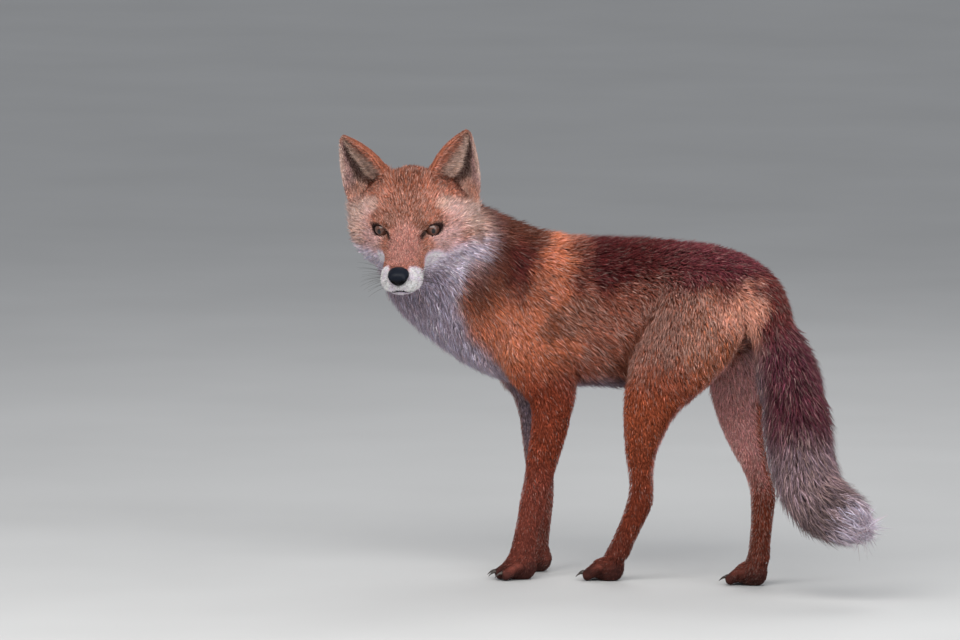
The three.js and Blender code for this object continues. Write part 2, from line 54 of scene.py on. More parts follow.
BODY_VOXEL = 2.6 * MM
FINE_VOXEL = 1.2 * MM
BAND = 32 * MM
NECK_CUT = 1.6  # place along the spine where the head's fine skin meets the body's
PAW_CUT = 34.0  # mm above the floor, where the paws' fine skin meets the leg's

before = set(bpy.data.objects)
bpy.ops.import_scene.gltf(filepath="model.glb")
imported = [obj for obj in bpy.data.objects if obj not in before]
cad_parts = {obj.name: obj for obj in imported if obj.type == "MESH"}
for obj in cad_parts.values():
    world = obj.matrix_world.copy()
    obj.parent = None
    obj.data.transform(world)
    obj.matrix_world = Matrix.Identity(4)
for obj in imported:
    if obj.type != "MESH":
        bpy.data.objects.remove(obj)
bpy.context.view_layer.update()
rng = np.random.default_rng(11)


# ---- The body's axes ----


def unit(v):
    return v / np.maximum(np.linalg.norm(v, axis=-1, keepdims=True), 1e-9)


def smooth(low, high, x):
    """0 up to `low`, 1 from `high` on, and a soft step between."""
    t = np.clip((x - low) / (high - low), 0, 1)
    return t * t * (3 - 2 * t)


def box_middle(name):
    low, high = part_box(name)
    return (np.array(low) + np.array(high)) / 2


TURN = np.array(Matrix.Rotation(BODY_TURN, 3, "Z"))
SHIFT = (box_middle("eye_left") + box_middle("eye_right")) / 2 - TURN @ EYES_AT * MM


def to_body(p):
    """Row metres to the body's own millimetres."""
    return (p - SHIFT) @ TURN / MM


def to_row(p):
    return (p * MM) @ TURN.T + SHIFT


def to_head(p):
    """Row metres to the head's millimetres: x ahead, y left, z up, from between the irises."""
    return (to_body(p) - HEAD_AT) @ HEAD_TURN


def head_to_row(h):
    return to_row(np.asarray(h, float) @ HEAD_TURN.T + HEAD_AT)


# From the skull to the tail's tip: the middle of the flesh and the coat's reach above, below, aside.
SPINE = np.array(
    [
        [-208, -66, 392, 36, 76, 41], [-187, -36, 375, 52, 84, 50],
        [-156, -15, 349, 66, 89, 53], [-121, -3, 322, 74, 90, 53],
        [-88, 0, 302, 82, 92, 52], [-50, -2, 291, 85, 86, 54],
        [-5, -7, 289, 83, 83, 56], [43, -26, 289, 84, 82, 56],
        [82, -50, 295, 78, 76, 52], [112, -73, 303, 69, 64, 50],
        [143, -100, 309, 56.5, 52, 49], [164, -120, 310, 40.5, 42, 40],
        [176, -134, 302, 29, 31, 29], [184, -144, 284, 26, 27, 26],
        [195, -155, 258, 31, 31, 31], [205, -172, 219, 37, 39, 36],
        [211, -188, 181, 36.5, 39, 37], [215, -200, 151, 34, 37, 35],
        [223, -214, 121, 33, 35, 34], [240, -230, 100, 33, 33, 33],
        [261, -246, 89, 32, 29, 29], [276, -257, 81, 24, 19, 20],
        [285, -264, 77, 9, 7, 8],
    ],
    float,
)


def spine_samples(per=10):
    """Places along the spine, its numbers there, and its axes: along, up and left."""
    t = np.linspace(0, len(SPINE) - 1, (len(SPINE) - 1) * per + 1)
    cols = [np.interp(t, np.arange(len(SPINE)), SPINE[:, k]) for k in range(6)]
    pts = np.stack(cols, 1)
    way = unit(np.gradient(pts[:, :3], axis=0))
    kernel = np.ones(9) / 9
    for k in range(3):
        way[:, k] = np.convolve(np.pad(way[:, k], 4, mode="edge"), kernel, "valid")
    way = unit(way)
    up = unit(UP - way[:, 2:3] * way)
    return t, pts, way, up, np.cross(way, up)


SP_T, SP_P, SP_WAY, SP_UP, SP_LEFT = spine_samples()


CHUNK = 20000  # points whose distances to the spine are worked out at once


def spine_coords(b):
    """Place along the spine, mm above it and to its side, and the nearest of its samples."""
    best = np.empty(len(b), int)
    for i in range(0, len(b), CHUNK):
        d = b[i : i + CHUNK, None, :] - SP_P[None, :, :3]
        best[i : i + CHUNK] = np.argmin((d * d).sum(2) / (SP_P[:, 5] ** 2 + 400), 1)
    off = b - SP_P[best, :3]
    s = SP_T[best]
    rise = (off * SP_UP[best]).sum(1)
    side = (off * SP_LEFT[best]).sum(1)
    return s, rise, side, best


# ---- Distance fields ----


class Field:
    """Signed distances on a regular grid: negative inside."""

    def __init__(self, low, values, voxel):
        self.low, self.values, self.voxel = np.asarray(low, int), values, voxel

    @classmethod
    def of_mesh(cls, points, voxel, **faces):
        grid = vdb.FloatGrid.createLevelSetFromPolygons(
            points.astype(np.float32),
            transform=vdb.createLinearTransform(voxelSize=voxel),
            halfWidth=BAND / voxel,
            **faces,
        )
        low, high = (np.array(v) for v in grid.evalActiveVoxelBoundingBox())
        values = np.zeros(tuple(high - low + 1), np.float32)
        grid.copyToArray(values, ijk=tuple(int(v) for v in low))
        return cls(low, values, voxel)

    def at(self, points):
        """The distance at each point, and BAND outside the grid."""
        q = points / self.voxel - self.low
        top = np.array(self.values.shape) - 2
        inside = np.all((q >= 0) & (q <= top + 1), axis=1)
        base = np.clip(np.floor(q).astype(int), 0, top)
        f = np.clip(q - base, 0, 1)
        total = np.zeros(len(points))
        for k in range(8):
            bit = np.array([k & 1, (k >> 1) & 1, (k >> 2) & 1])
            share = np.prod(np.where(bit, f, 1 - f), axis=1)
            i, j, m = (base + bit).T
            total += share * self.values[i, j, m]
        return np.where(inside, total, BAND)

    def mesh(self):
        grid = vdb.FloatGrid()
        grid.background = BAND
        grid.copyFromArray(self.values, ijk=tuple(int(v) for v in self.low))
        grid.transform = vdb.createLinearTransform(voxelSize=self.voxel)
        points, quads = grid.convertToQuads(0.0)[:2]
        return points.astype(float), quads.astype(int)

    def centres(self):
        """The places of its values, m."""
        axes = [(self.low[k] + np.arange(self.values.shape[k])) * self.voxel for k in range(3)]
        return np.stack(np.meshgrid(*axes, indexing="ij"), -1)

    def blur(self, times):
        """Smooths it by a 1, 2, 1 filter along each axis."""
        v = self.values
        for axis in [0, 1, 2] * times:
            v = np.moveaxis(v, axis, 0)
            v = (v[:-2] + 2 * v[1:-1] + v[2:]) / 4
            v = np.moveaxis(np.concatenate([v[:1], v, v[-1:]]), 0, axis)
        self.values = np.ascontiguousarray(v, np.float32)


def window(whole, part):
    """The view of one field's values that another one covers."""
    a = part.low - whole.low
    b = a + part.values.shape
    return whole.values[a[0] : b[0], a[1] : b[1], a[2] : b[2]]


def crop(part, whole):
    """The part of one field that lies in another one's grid."""
    low = np.maximum(part.low, whole.low)
    high = np.minimum(part.low + part.values.shape, whole.low + whole.values.shape)
    a, b = low - part.low, high - part.low
    return Field(low, part.values[a[0] : b[0], a[1] : b[1], a[2] : b[2]], part.voxel)


def spanning(fields, margin=0):
    """An empty field over all the given ones."""
    low = np.min([f.low for f in fields], 0) - margin
    high = np.max([f.low + f.values.shape for f in fields], 0) + margin
    return Field(low, np.full(tuple(high - low), BAND, np.float32), fields[0].voxel)


def soft_min(a, b, k):
    """The smaller of two, rounded over where they differ by less than k."""
    h = np.clip(0.5 + 0.5 * (b - a) / k, 0, 1)
    return b * (1 - h) + a * h - k * h * (1 - h)


def line_distance(p, line):
    """How far each point is from a bent line."""
    best = np.full(len(p), 1e9)
    for a, b in zip(line[:-1], line[1:]):
        d = b - a
        t = np.clip((p - a) @ d / (d @ d), 0, 1)
        best = np.minimum(best, np.linalg.norm(p - a - t[:, None] * d, axis=1))
    return best


def node_field(name, voxel):
    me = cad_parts[name].data
    me.calc_loop_triangles()
    co = np.empty(len(me.vertices) * 3, np.float32)
    me.vertices.foreach_get("co", co)
    tri = np.empty(len(me.loop_triangles) * 3, np.int32)
    me.loop_triangles.foreach_get("vertices", tri)
    return Field.of_mesh(co.reshape(-1, 3), voxel, triangles=tri.reshape(-1, 3).astype(np.uint32))


# ---- The coat by part ----

FLESH = [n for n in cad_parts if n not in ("eye_left", "eye_right", "nose")]
TAIL = ("tail_base", "tail_middle", "tail_tip")
SKULL = ("head", "lower_jaw")


def kind(name):
    return name.replace("_left", "").replace("_right", "")


# How deep the skin lies under the solids' surface, mm, then the hair's length and the tufts' width,
# mm, and how many tufts stand on a square mm.
COAT = {
    "head": (4.0, 6.0, 0.62, 1.5),
    "lower_jaw": (2.4, 4.5, 0.5, 1.5),
    "ear": (0.1, 5.0, 0.5, 1.05),
    "neck": (11.0, 21, 0.7, 0.72),
    "chest": (9.5, 19, 0.74, 0.64),
    "belly": (9.5, 19, 0.74, 0.52),
    "rump": (9.0, 18, 0.74, 0.62),
    "tail_base": (13.0, 27, 0.85, 0.62),
    "tail_middle": (17.0, 36, 0.9, 0.62),
    "tail_tip": (17.0, 38, 0.85, 0.65),
    "shoulder": (6.5, 14, 0.68, 0.66),
    "forearm": (3.0, 7.5, 0.6, 0.58),
    "forefoot": (2.0, 5.5, 0.55, 0.62),
    "forepaw": (0.9, 4.2, 0.5, 0.5),
    "thigh": (7.0, 15, 0.68, 0.58),
    "shank": (3.5, 8, 0.6, 0.58),
    "hindfoot": (2.2, 5.5, 0.55, 0.62),
    "hindpaw": (0.9, 4.2, 0.5, 0.5),
}
DEPTH = {k: row[0] for k, row in COAT.items()}
EAR_PILE = 1.2  # mm that the ears' short hair stands up
SEAM = 0.6  # mm that the solids grow, to close the cuts between them
SHARE_REACH = 5  # mm over which two parts' depths run into each other
SOLE_GAP = 0.2  # mm that the skin stays off the floor
TIGHT, LOOSE = 3.5, 11  # mm over which markings and hair run from part to part, on head and body


def head_depth(h):
    """The head's coat is thin on the muzzle and round the ears, and thick on the ruff."""
    back = smooth(35, -45, h[..., 0])
    low = smooth(0, -35, h[..., 2]) * smooth(10, -30, h[..., 0])
    away = h - np.array([-48.0, 0, 28])
    aside = (np.abs(h[..., 1]) - 44) / 27
    off = np.sqrt((away[..., 0] / 26) ** 2 + aside**2 + (away[..., 2] / 34) ** 2)
    ear = smooth(1.25, 0.7, off)
    deep = 1.8 + 4.0 * back + 3.5 * low * back
    return deep * (1 - ear) + 1.2 * ear


def skin_field(names, voxel, blurs):
    """The joined solids, each drawn in by its own coat's depth."""
    parts = {n: node_field(n, voxel) for n in names}
    total = spanning(list(parts.values()), 3)
    for f in parts.values():
        np.minimum(window(total, f), f.values, out=window(total, f))
    total.values -= SEAM * MM
    points, quads = total.mesh()
    outer = Field.of_mesh(points, voxel, quads=quads.astype(np.uint32))
    weight = Field(outer.low, np.full(outer.values.shape, 1e-4, np.float32), voxel)
    depth = Field(outer.low, np.full(outer.values.shape, 1e-4 * 4 * MM, np.float32), voxel)
    for name, f in parts.items():
        f = crop(f, outer)
        share = np.exp(-f.values / (SHARE_REACH * MM))
        deep = DEPTH[kind(name)]
        if name == "head":
            deep = head_depth(to_head(f.centres().reshape(-1, 3))).reshape(f.values.shape)
        if kind(name).endswith(("paw", "foot")):
            deep = deep * smooth(1, 9, f.centres()[..., 2] / MM)
        window(weight, f)[...] += share
        window(depth, f)[...] += share * deep * MM
    outer.values += depth.values / weight.values + SEAM * MM
    outer.blur(blurs)
    return outer


# ---- Meshes ----


def face_normals(points, quads):
    a, b, c, d = (points[quads[:, k]] for k in range(4))
    return np.cross(c - a, d - b)


def vertex_normals(points, quads):
    n = face_normals(points, quads)
    total = np.zeros_like(points)
    for k in range(4):
        for axis in range(3):
            total[:, axis] += np.bincount(quads[:, k], n[:, axis], len(points))
    return unit(total)


def relax(points, quads, times):
    """Smooths a mesh with hardly any shrinking."""
    edges = np.concatenate([quads[:, [k, (k + 1) % 4]] for k in range(4)])
    ends, n = (edges.T, edges[:, ::-1].T), len(points)
    count = sum(np.bincount(a, minlength=n) for a, _ in ends)
    for turn in range(times):
        total = [sum(np.bincount(a, points[b, axis], n) for a, b in ends) for axis in range(3)]
        step = 0.5 if turn % 2 == 0 else -0.475
        points = points + step * (np.stack(total, 1) / np.maximum(count, 1)[:, None] - points)
    return points


def keep_faces(points, quads, keep):
    quads = quads[keep]
    used, packed = np.unique(quads, return_inverse=True)
    return points[used], packed.reshape(-1, 4)


def main_pieces(points, quads, least=400):
    """Drops stray bits: groups of joined vertices smaller than `least`."""
    label = np.arange(len(points))
    for _ in range(400):
        low = label[quads].min(1)
        new = label.copy()
        for k in range(4):
            np.minimum.at(new, quads[:, k], low)
        new = new[new]
        if np.array_equal(new, label):
            break
        label = new
    sizes = np.bincount(label, minlength=len(points))
    return keep_faces(points, quads, sizes[label[quads[:, 0]]] >= least)


def joined(pieces):
    start = np.cumsum([0] + [len(p) for p, _ in pieces[:-1]])
    points = np.concatenate([p for p, _ in pieces])
    return points, np.concatenate([f + s for (_, f), s in zip(pieces, start)])


def facing_away(points, faces, middle):
    """The faces, turned round if they look at the middle of what they enclose."""
    out = ((points[faces].mean(1) - middle) * unit(face_normals(points, faces))).sum(1).mean()
    return faces if out >= 0 else faces[:, ::-1]


def new_object(name, points, faces, own_material, smooth_faces=True):
    """faces: a list of arrays, each with one number of corners."""
    me = bpy.data.meshes.new(name)
    loops = np.concatenate([f.ravel() for f in faces]).astype(np.int32)
    counts = np.concatenate([np.full(len(f), f.shape[1]) for f in faces])
    me.vertices.add(len(points))
    me.vertices.foreach_set("co", np.asarray(points, np.float32).ravel())
    me.loops.add(len(loops))
    me.loops.foreach_set("vertex_index", loops)
    me.polygons.add(len(counts))
    starts = np.concatenate([[0], np.cumsum(counts)[:-1]]).astype(np.int32)
    me.polygons.foreach_set("loop_start", starts)
    me.polygons.foreach_set("use_smooth", np.full(len(counts), smooth_faces))
    me.update(calc_edges=True)
    ob = bpy.data.objects.new(name, me)
    bpy.context.scene.collection.objects.link(ob)
    ob.data.materials.append(own_material)
    return ob


def piece(name, points, faces, own_material, rgb=None, replaces=()):
    """A piece of the fox, in row metres. rgb: each point's colour, where its material reads it."""
    ob = new_object(name, points, faces, own_material)
    if rgb is not None:
        rgba = np.ones((len(rgb), 4), np.float32)
        rgba[:, :3] = rgb
        attribute = ob.data.color_attributes.new("coat", "FLOAT_COLOR", "POINT")
        attribute.data.foreach_set("color", rgba.ravel())
    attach(ob, "root")
    if replaces:
        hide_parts(*replaces)
    return ob


# ---- The skin ----


def eye_axes(mirror):
    """The way that an eye looks, and the long and the short axis of its lids' opening."""
    gaze = np.array([math.cos(EYE_OUT), mirror * math.sin(EYE_OUT), EYE_UP])
    gaze = gaze / np.linalg.norm(gaze)
    out = np.cross(UP, gaze) * mirror
    out = out / np.linalg.norm(out)
    up = np.cross(gaze, out) * mirror
    a = out * math.cos(LID_SLANT) + up * math.sin(LID_SLANT)
    b = up * math.cos(LID_SLANT) - out * math.sin(LID_SLANT)
    return gaze, a, b


def eye_centre(mirror):
    return np.array([0, mirror * EYE_AT[1], EYE_AT[0]]) - eye_axes(mirror)[0] * EYE_RADIUS


def eye_distance(h, mirror):
    """0 at the lids' edge, 1 about one opening further out."""
    gaze, a, b = eye_axes(mirror)
    p = h - eye_centre(mirror)
    r = np.hypot((p @ a) / LID_OPEN[0], (p @ b) / LID_OPEN[1]) - 1
    return np.where(p @ gaze > 0, r, 9)


def with_ears(head):
    """The thin ears keep their whole thickness, with a soft hollow where they meet the head."""
    ears = [node_field(name, head.voxel) for name in EARS]
    total = spanning([head, *ears])
    window(total, head)[...] = head.values
    for f in ears:
        view = window(total, f)
        view[...] = soft_min(view, f.values + DEPTH["ear"] * MM, 4 * MM)
    return total


def add_face_detail(field):
    """The sockets, the lids over the eyeballs with their openings, and the mouth's line."""
    h = to_head(field.centres().reshape(-1, 3))
    near = h[:, 0] > -30
    h = h[near]
    v = field.values.reshape(-1)[near] / MM
    for mirror in (1, -1):
        gaze, a, b = eye_axes(mirror)
        p = h - eye_centre(mirror)
        u, w, g = p @ a, p @ b, p @ gaze
        away = np.linalg.norm(p, axis=1)
        beyond = np.hypot(u / (LID_OPEN[0] + 1.5), w / (LID_OPEN[1] + 1)) - 1
        beyond = np.maximum(beyond, 0)
        cover = EYE_RADIUS + 0.8 + 6 * beyond + 22 * beyond**2
        over_eye = np.where(g > 0, cover - away, 9)
        v = soft_min(v, away - (EYE_RADIUS + 0.6), 10)
        v = -soft_min(-v, over_eye, 2.5)
        open_ = np.hypot(u / (LID_OPEN[0] + 0.9), w / (LID_OPEN[1] + 0.9)) - 1
        hole = np.maximum(open_ * LID_OPEN[1], -g + 1)
        v = np.maximum(v, -hole)
    v = np.maximum(v, 0.9 - line_distance(h, MOUTH))
    values = field.values.reshape(-1)
    values[near] = v * MM
    field.values = values.reshape(field.values.shape)


MOUTH_SIDE = [(26, 23, -45), (38, 21.5, -47), (50, 18.5, -46.5), (60, 13, -44), (66, 6.5, -41.5)]
MOUTH_OTHER = [(x, -y, z) for x, y, z in MOUTH_SIDE[::-1]]
MOUTH = np.array([*MOUTH_SIDE, (68, 0, -39.5), *MOUTH_OTHER], float)


def shell(field, wanted):
    """The field's surface where its faces' middles are wanted, without stray bits."""
    points, quads = field.mesh()
    mid = points[quads].mean(1)
    n = unit(face_normals(points, quads))
    some = slice(None, None, 37)
    step = 1.5 * field.voxel
    out = field.at(mid[some] + n[some] * step) - field.at(mid[some] - n[some] * step)
    if np.median(out) <= 0:
        quads = quads[:, ::-1]
        mid = points[quads].mean(1)
    points, quads = main_pieces(*keep_faces(points, quads, wanted(mid)))
    return relax(points, quads, 4), quads


def build_skin():
    """The skin's points and faces, with the fields of the body and of the head."""

    def place(mid):
        return spine_coords(to_body(mid))[0]

    body = skin_field([n for n in FLESH if kind(n) != "ear"], BODY_VOXEL, 3)
    head = skin_field([n for n in FLESH if kind(n) in (*SKULL, "neck")], FINE_VOXEL, 1)
    head = with_ears(head)
    add_face_detail(head)
    pieces = [
        shell(body, lambda mid: (place(mid) > NECK_CUT - 0.2) & (mid[:, 2] > (PAW_CUT - 2) * MM)),
        shell(head, lambda mid: place(mid) < NECK_CUT),
    ]
    for leg in ("fore", "hind"):
        for side in ("left", "right"):
            paw = skin_field([f"{leg}paw_{side}", f"{leg}foot_{side}"], FINE_VOXEL, 1)
            pieces.append(shell(paw, lambda mid: mid[:, 2] < PAW_CUT * MM))
    points, quads = joined(pieces)
    points[:, 2] = np.maximum(points[:, 2], SOLE_GAP * MM)
    return points, quads, body, head


# ---- What grows where ----

EARS = {
    "ear_left": {"inner": [-38, 23, 48], "outer": [-54, 67, 2], "tip": [-48, 69.5, 97.5]},
    "ear_right": {"inner": [-38, -24, 48], "outer": [-54, -65, 0], "tip": [-48, -72.5, 92]},
}
# In the body's axes: the way that is outward on the right legs, the way that the hair lies down
# each part, and where each paw stands and the way that it points.
OUTWARD = {"fore": np.array([0, 1.0, 0]), "hind": np.array([0.643, 0.766, 0])}
LEG_NODES = {
    "fore": ("shoulder", "forearm", "forefoot", "forepaw"),
    "hind": ("thigh", "shank", "hindfoot", "hindpaw"),
}
LEG_WAY = {
    "shoulder": [0.75, 0, -0.85],
    "forearm": [0.25, 0, -1],
    "forefoot": [0.1, 0, -1],
    "thigh": [0.3, -0.25, -1],
    "shank": [0.25, -0.15, -1],
    "hindfoot": [0.1, 0, -1],
}
PAWS = {
    "forepaw_left": ([-88, -38], [-1, -0.08]),
    "forepaw_right": ([-71, 33], [-1, 0.1]),
    "hindpaw_left": ([8, -49], [-0.85, 0.5]),
    "hindpaw_right": ([163, -90], [-0.8, 0.6]),
}


def region_weights(points):
    """How much each point belongs to each node of flesh."""
    d = np.stack([node_field(n, BODY_VOXEL).at(points) for n in FLESH], 1)
    tight = np.isin([kind(n) for n in FLESH], [*SKULL, "ear"])[d.argmin(1)]
    spread = np.where(tight, TIGHT, LOOSE)[:, None] * MM
    w = np.exp(-(d - d.min(1, keepdims=True)) / spread) * (d < 0.9 * BAND)
    w /= w.sum(1, keepdims=True)
    return w


class Ground:
    """All that is known of the skin at its points: where each lies, and on which parts."""

    def __init__(self, points, quads, normals):
        self.points, self.quads, self.normals = points, quads, normals
        self.kinds = np.array([kind(n) for n in FLESH])
        self.w = region_weights(points)
        self.main = np.argmax(self.w, 1)
        self.body = to_body(points)
        self.head = to_head(points)
        self.n_body = normals @ TURN
        self.n_head = self.n_body @ HEAD_TURN
        self.s, rise, side, self.best = spine_coords(self.body)
        up, low, aside = SP_P[self.best, 3:].T
        tall = np.where(rise > 0, up, low)
        # Degrees round the trunk, from under it to its back.
        self.turn = np.degrees(np.arctan2(np.abs(side) / aside, -rise / tall))

    def part(self, *kinds):
        return self.w[:, [i for i, k in enumerate(self.kinds) if k in kinds]].sum(1)

    def node(self, name):
        return self.w[:, FLESH.index(name)]


def ear_coords(h, name):
    """How far along an ear and across it, and the ways to its front, its outer edge and its tip."""
    e = EARS[name]
    a, b, t = (np.array(e[k], float) for k in ("inner", "outer", "tip"))
    mid = (a + b) / 2
    rise = t - mid
    length = np.linalg.norm(rise)
    rise = rise / length
    along = (h - mid) @ rise / length
    across = unit(b - a)
    half = np.linalg.norm(b - a) / 2 * np.clip(1.05 - along, 0.12, 1.2)
    centre = mid + along[:, None] * (t - mid)
    over = ((h - centre) @ across) / half
    front = np.cross(across, rise)
    if front[0] < 0:
        front = -front
    return along, over, front, across, rise


def tangent(way, normals):
    way = way - (way * normals).sum(1, keepdims=True) * normals
    return unit(way)


def hair_lie(g):
    """The way the hair lies at each point, in row axes."""
    back = SP_WAY[g.best]
    flank = smooth(15, 70, 180 - g.turn)
    lie = back - 0.55 * flank[:, None] * smooth(12, 7, g.s)[:, None] * UP
    front = smooth(75, 35, g.turn) * smooth(6.0, 3.5, g.s)
    lie = lie * (1 - 0.85 * front[:, None]) + front[:, None] * np.array([0.15, 0, -1.0])
    way = g.part("neck", "chest", "belly", "rump")[:, None] * lie
    way += g.part(*TAIL)[:, None] * back
    hx, hy, hz = g.head.T
    face = unit(g.head - np.array([70.0, 0, -14]))
    ruff = smooth(-5, -45, hx) * smooth(5, -30, hz)
    face = face + ruff[:, None] * np.array([-0.2, 0, -0.7])
    face[:, 1] += 0.4 * smooth(-10, -50, hx) * smooth(10, 40, np.abs(hy)) * np.sign(hy)
    for mirror in (1, -1):
        gaze = eye_axes(mirror)[0]
        p = g.head - eye_centre(mirror)
        outward = unit(p - (p @ gaze)[:, None] * gaze)
        inward = np.minimum((face * outward).sum(1), 0)
        beside = smooth(1.5, 0.3, eye_distance(g.head, mirror))
        face = face + (beside * (0.45 - inward))[:, None] * outward
    way += g.part(*SKULL)[:, None] * (face @ HEAD_TURN.T)
    for name in EARS:
        _, over, front, across, rise = ear_coords(g.head, name)
        inside = smooth(-0.1, 0.35, g.n_head @ front)[:, None]
        sweep = smooth(0.5, -0.3, over)[:, None]
        lie = rise + inside * (across * (1.6 * sweep - 0.5 * (1 - sweep)))
        way += g.node(name)[:, None] * (lie @ HEAD_TURN.T)
    for part, lie in LEG_WAY.items():
        way += g.part(part)[:, None] * np.array(lie)
    for name, (_, heading) in PAWS.items():
        way += g.node(name)[:, None] * np.array([*heading, -0.75])
    return tangent(way @ TURN.T, g.normals)


def hair_sizes(g):
    """Each point's hair: its length, its tufts' width and number, and how far they stand out."""
    length, width, density = (g.w @ np.array([COAT[k][1:] for k in g.kinds])).T
    depth = g.w @ np.array([max(DEPTH[k], EAR_PILE) for k in g.kinds])
    head = g.part("head")
    hx, hy, hz = g.head.T
    aside = np.abs(hy)
    own_depth, own_length, own_width, own_density = COAT["head"]
    depth = depth + head * (head_depth(g.head) - own_depth)
    back = smooth(35, -50, hx)
    low = smooth(5, -30, hz) * smooth(0, -40, hx)
    face = 3.4 + 7.0 * back + 7.0 * low + 5.0 * back * smooth(36, 52, aside)
    fringe = head * smooth(44, 57, aside) * smooth(14, 0, hz)
    length = length + head * (face - own_length) + 5 * fringe
    depth = depth + 2.2 * fringe
    width = width + head * (0.42 + 0.22 * back + 0.2 * low - own_width)
    density = density + head * (2.2 - 1.05 * back - 0.35 * low - own_density)
    for name in EARS:
        along, over, front, *_ = ear_coords(g.head, name)
        inside = smooth(0.0, 0.35, g.n_head @ front) * g.node(name)
        comb = inside * smooth(0.35, -0.35, over) * smooth(0.95, 0.6, along)
        rim = np.maximum(smooth(0.75, 0.95, along), smooth(0.75, 1.0, np.abs(over)))
        rim = g.node(name) * rim
        length = (length + comb * 9) * (1 - 0.5 * rim)
        depth = (depth + comb * 1.6) * (1 - 0.35 * rim)
        width = width - comb * 0.1
    for mirror in (1, -1):
        eye = eye_distance(g.head, mirror)
        near = smooth(0.15, 1.0, eye)
        density *= np.where(eye < 0.19, 0, 1) * (1 + 0.9 * smooth(0.8, 0.2, eye))
        length *= 0.45 + 0.55 * near
        depth *= 0.25 + 0.75 * near
    nose = off_centre(g.head, NOSE_AT, (10.4, 11.6, 9.4))
    lips = line_distance(g.head, MOUTH)
    density *= (nose > 1.0) * (1 + 0.8 * smooth(1.5, 1.0, nose))
    density *= (lips > 1.6) & (g.body[:, 2] >= 1.2)
    length *= 0.34 + 0.66 * smooth(1.0, 7.0, lips)
    return length, width, density, depth


# ---- Markings ----


def colour(*rgb):
    return np.array(rgb, float)


RUST = colour(0.34, 0.1156, 0.068)
ORANGE = colour(0.4216, 0.136, 0.068)
CREAM = colour(0.731, 0.51, 0.442)
# White fur; its lavender tint, like the bib's, is painted cool skylight.
WHITE = colour(0.92, 0.82, 0.97)
GREY = colour(0.2992, 0.2516, 0.3128)
BIB = colour(0.47, 0.42, 0.52)
MAROON = colour(0.105, 0.0185, 0.0195)
BROWN = colour(0.1972, 0.0646, 0.0408)
DARK = colour(0.0204, 0.0082, 0.0075)
GOLD = colour(0.5304, 0.2448, 0.17)
BUFF = colour(0.4836, 0.3348, 0.2728)
LEG = colour(0.225, 0.048, 0.024)
SOCK = colour(0.14, 0.038, 0.028)
BRUSH = colour(0.118, 0.031, 0.046)
ASH = colour(0.272, 0.1904, 0.2176)
BLACK = colour(0.0015, 0.0015, 0.002)
LEAST, MOST = 0.004, 0.95  # the darkest and the palest that a hair gets


def paint(base, *layers):
    """Lays each tone over the base by its own share."""
    for tone, share in layers:
        share = np.clip(share, 0, 1)[:, None]
        base = base * (1 - share) + tone * share
    return base


def blend(bases, tones, share):
    """The colour and the shares of pale and dark tips, each drawn towards another."""
    wide = [share[:, None], share, share]
    return [b * (1 - w) + t * w for b, t, w in zip(bases, tones, wide)]


def off_centre(p, at, reach):
    return np.linalg.norm((p - np.array(at, float)) / np.array(reach, float), axis=1)


def blob(p, at, reach, edge=(1.25, 0.6)):
    """1 in the middle of a soft ellipsoid, 0 outside."""
    return smooth(*edge, off_centre(p, at, reach))


def noise_on(points, scale):
    """A smooth random number between -1 and 1 over the body."""
    total = np.zeros(len(points))
    for _ in range(6):
        way = unit(rng.normal(0, 1, 3)) * rng.uniform(0.6, 1.6)
        total += np.sin(points @ way * 2 * math.pi / scale + rng.uniform(0, 6.28))
    return np.tanh(total / 2.2)


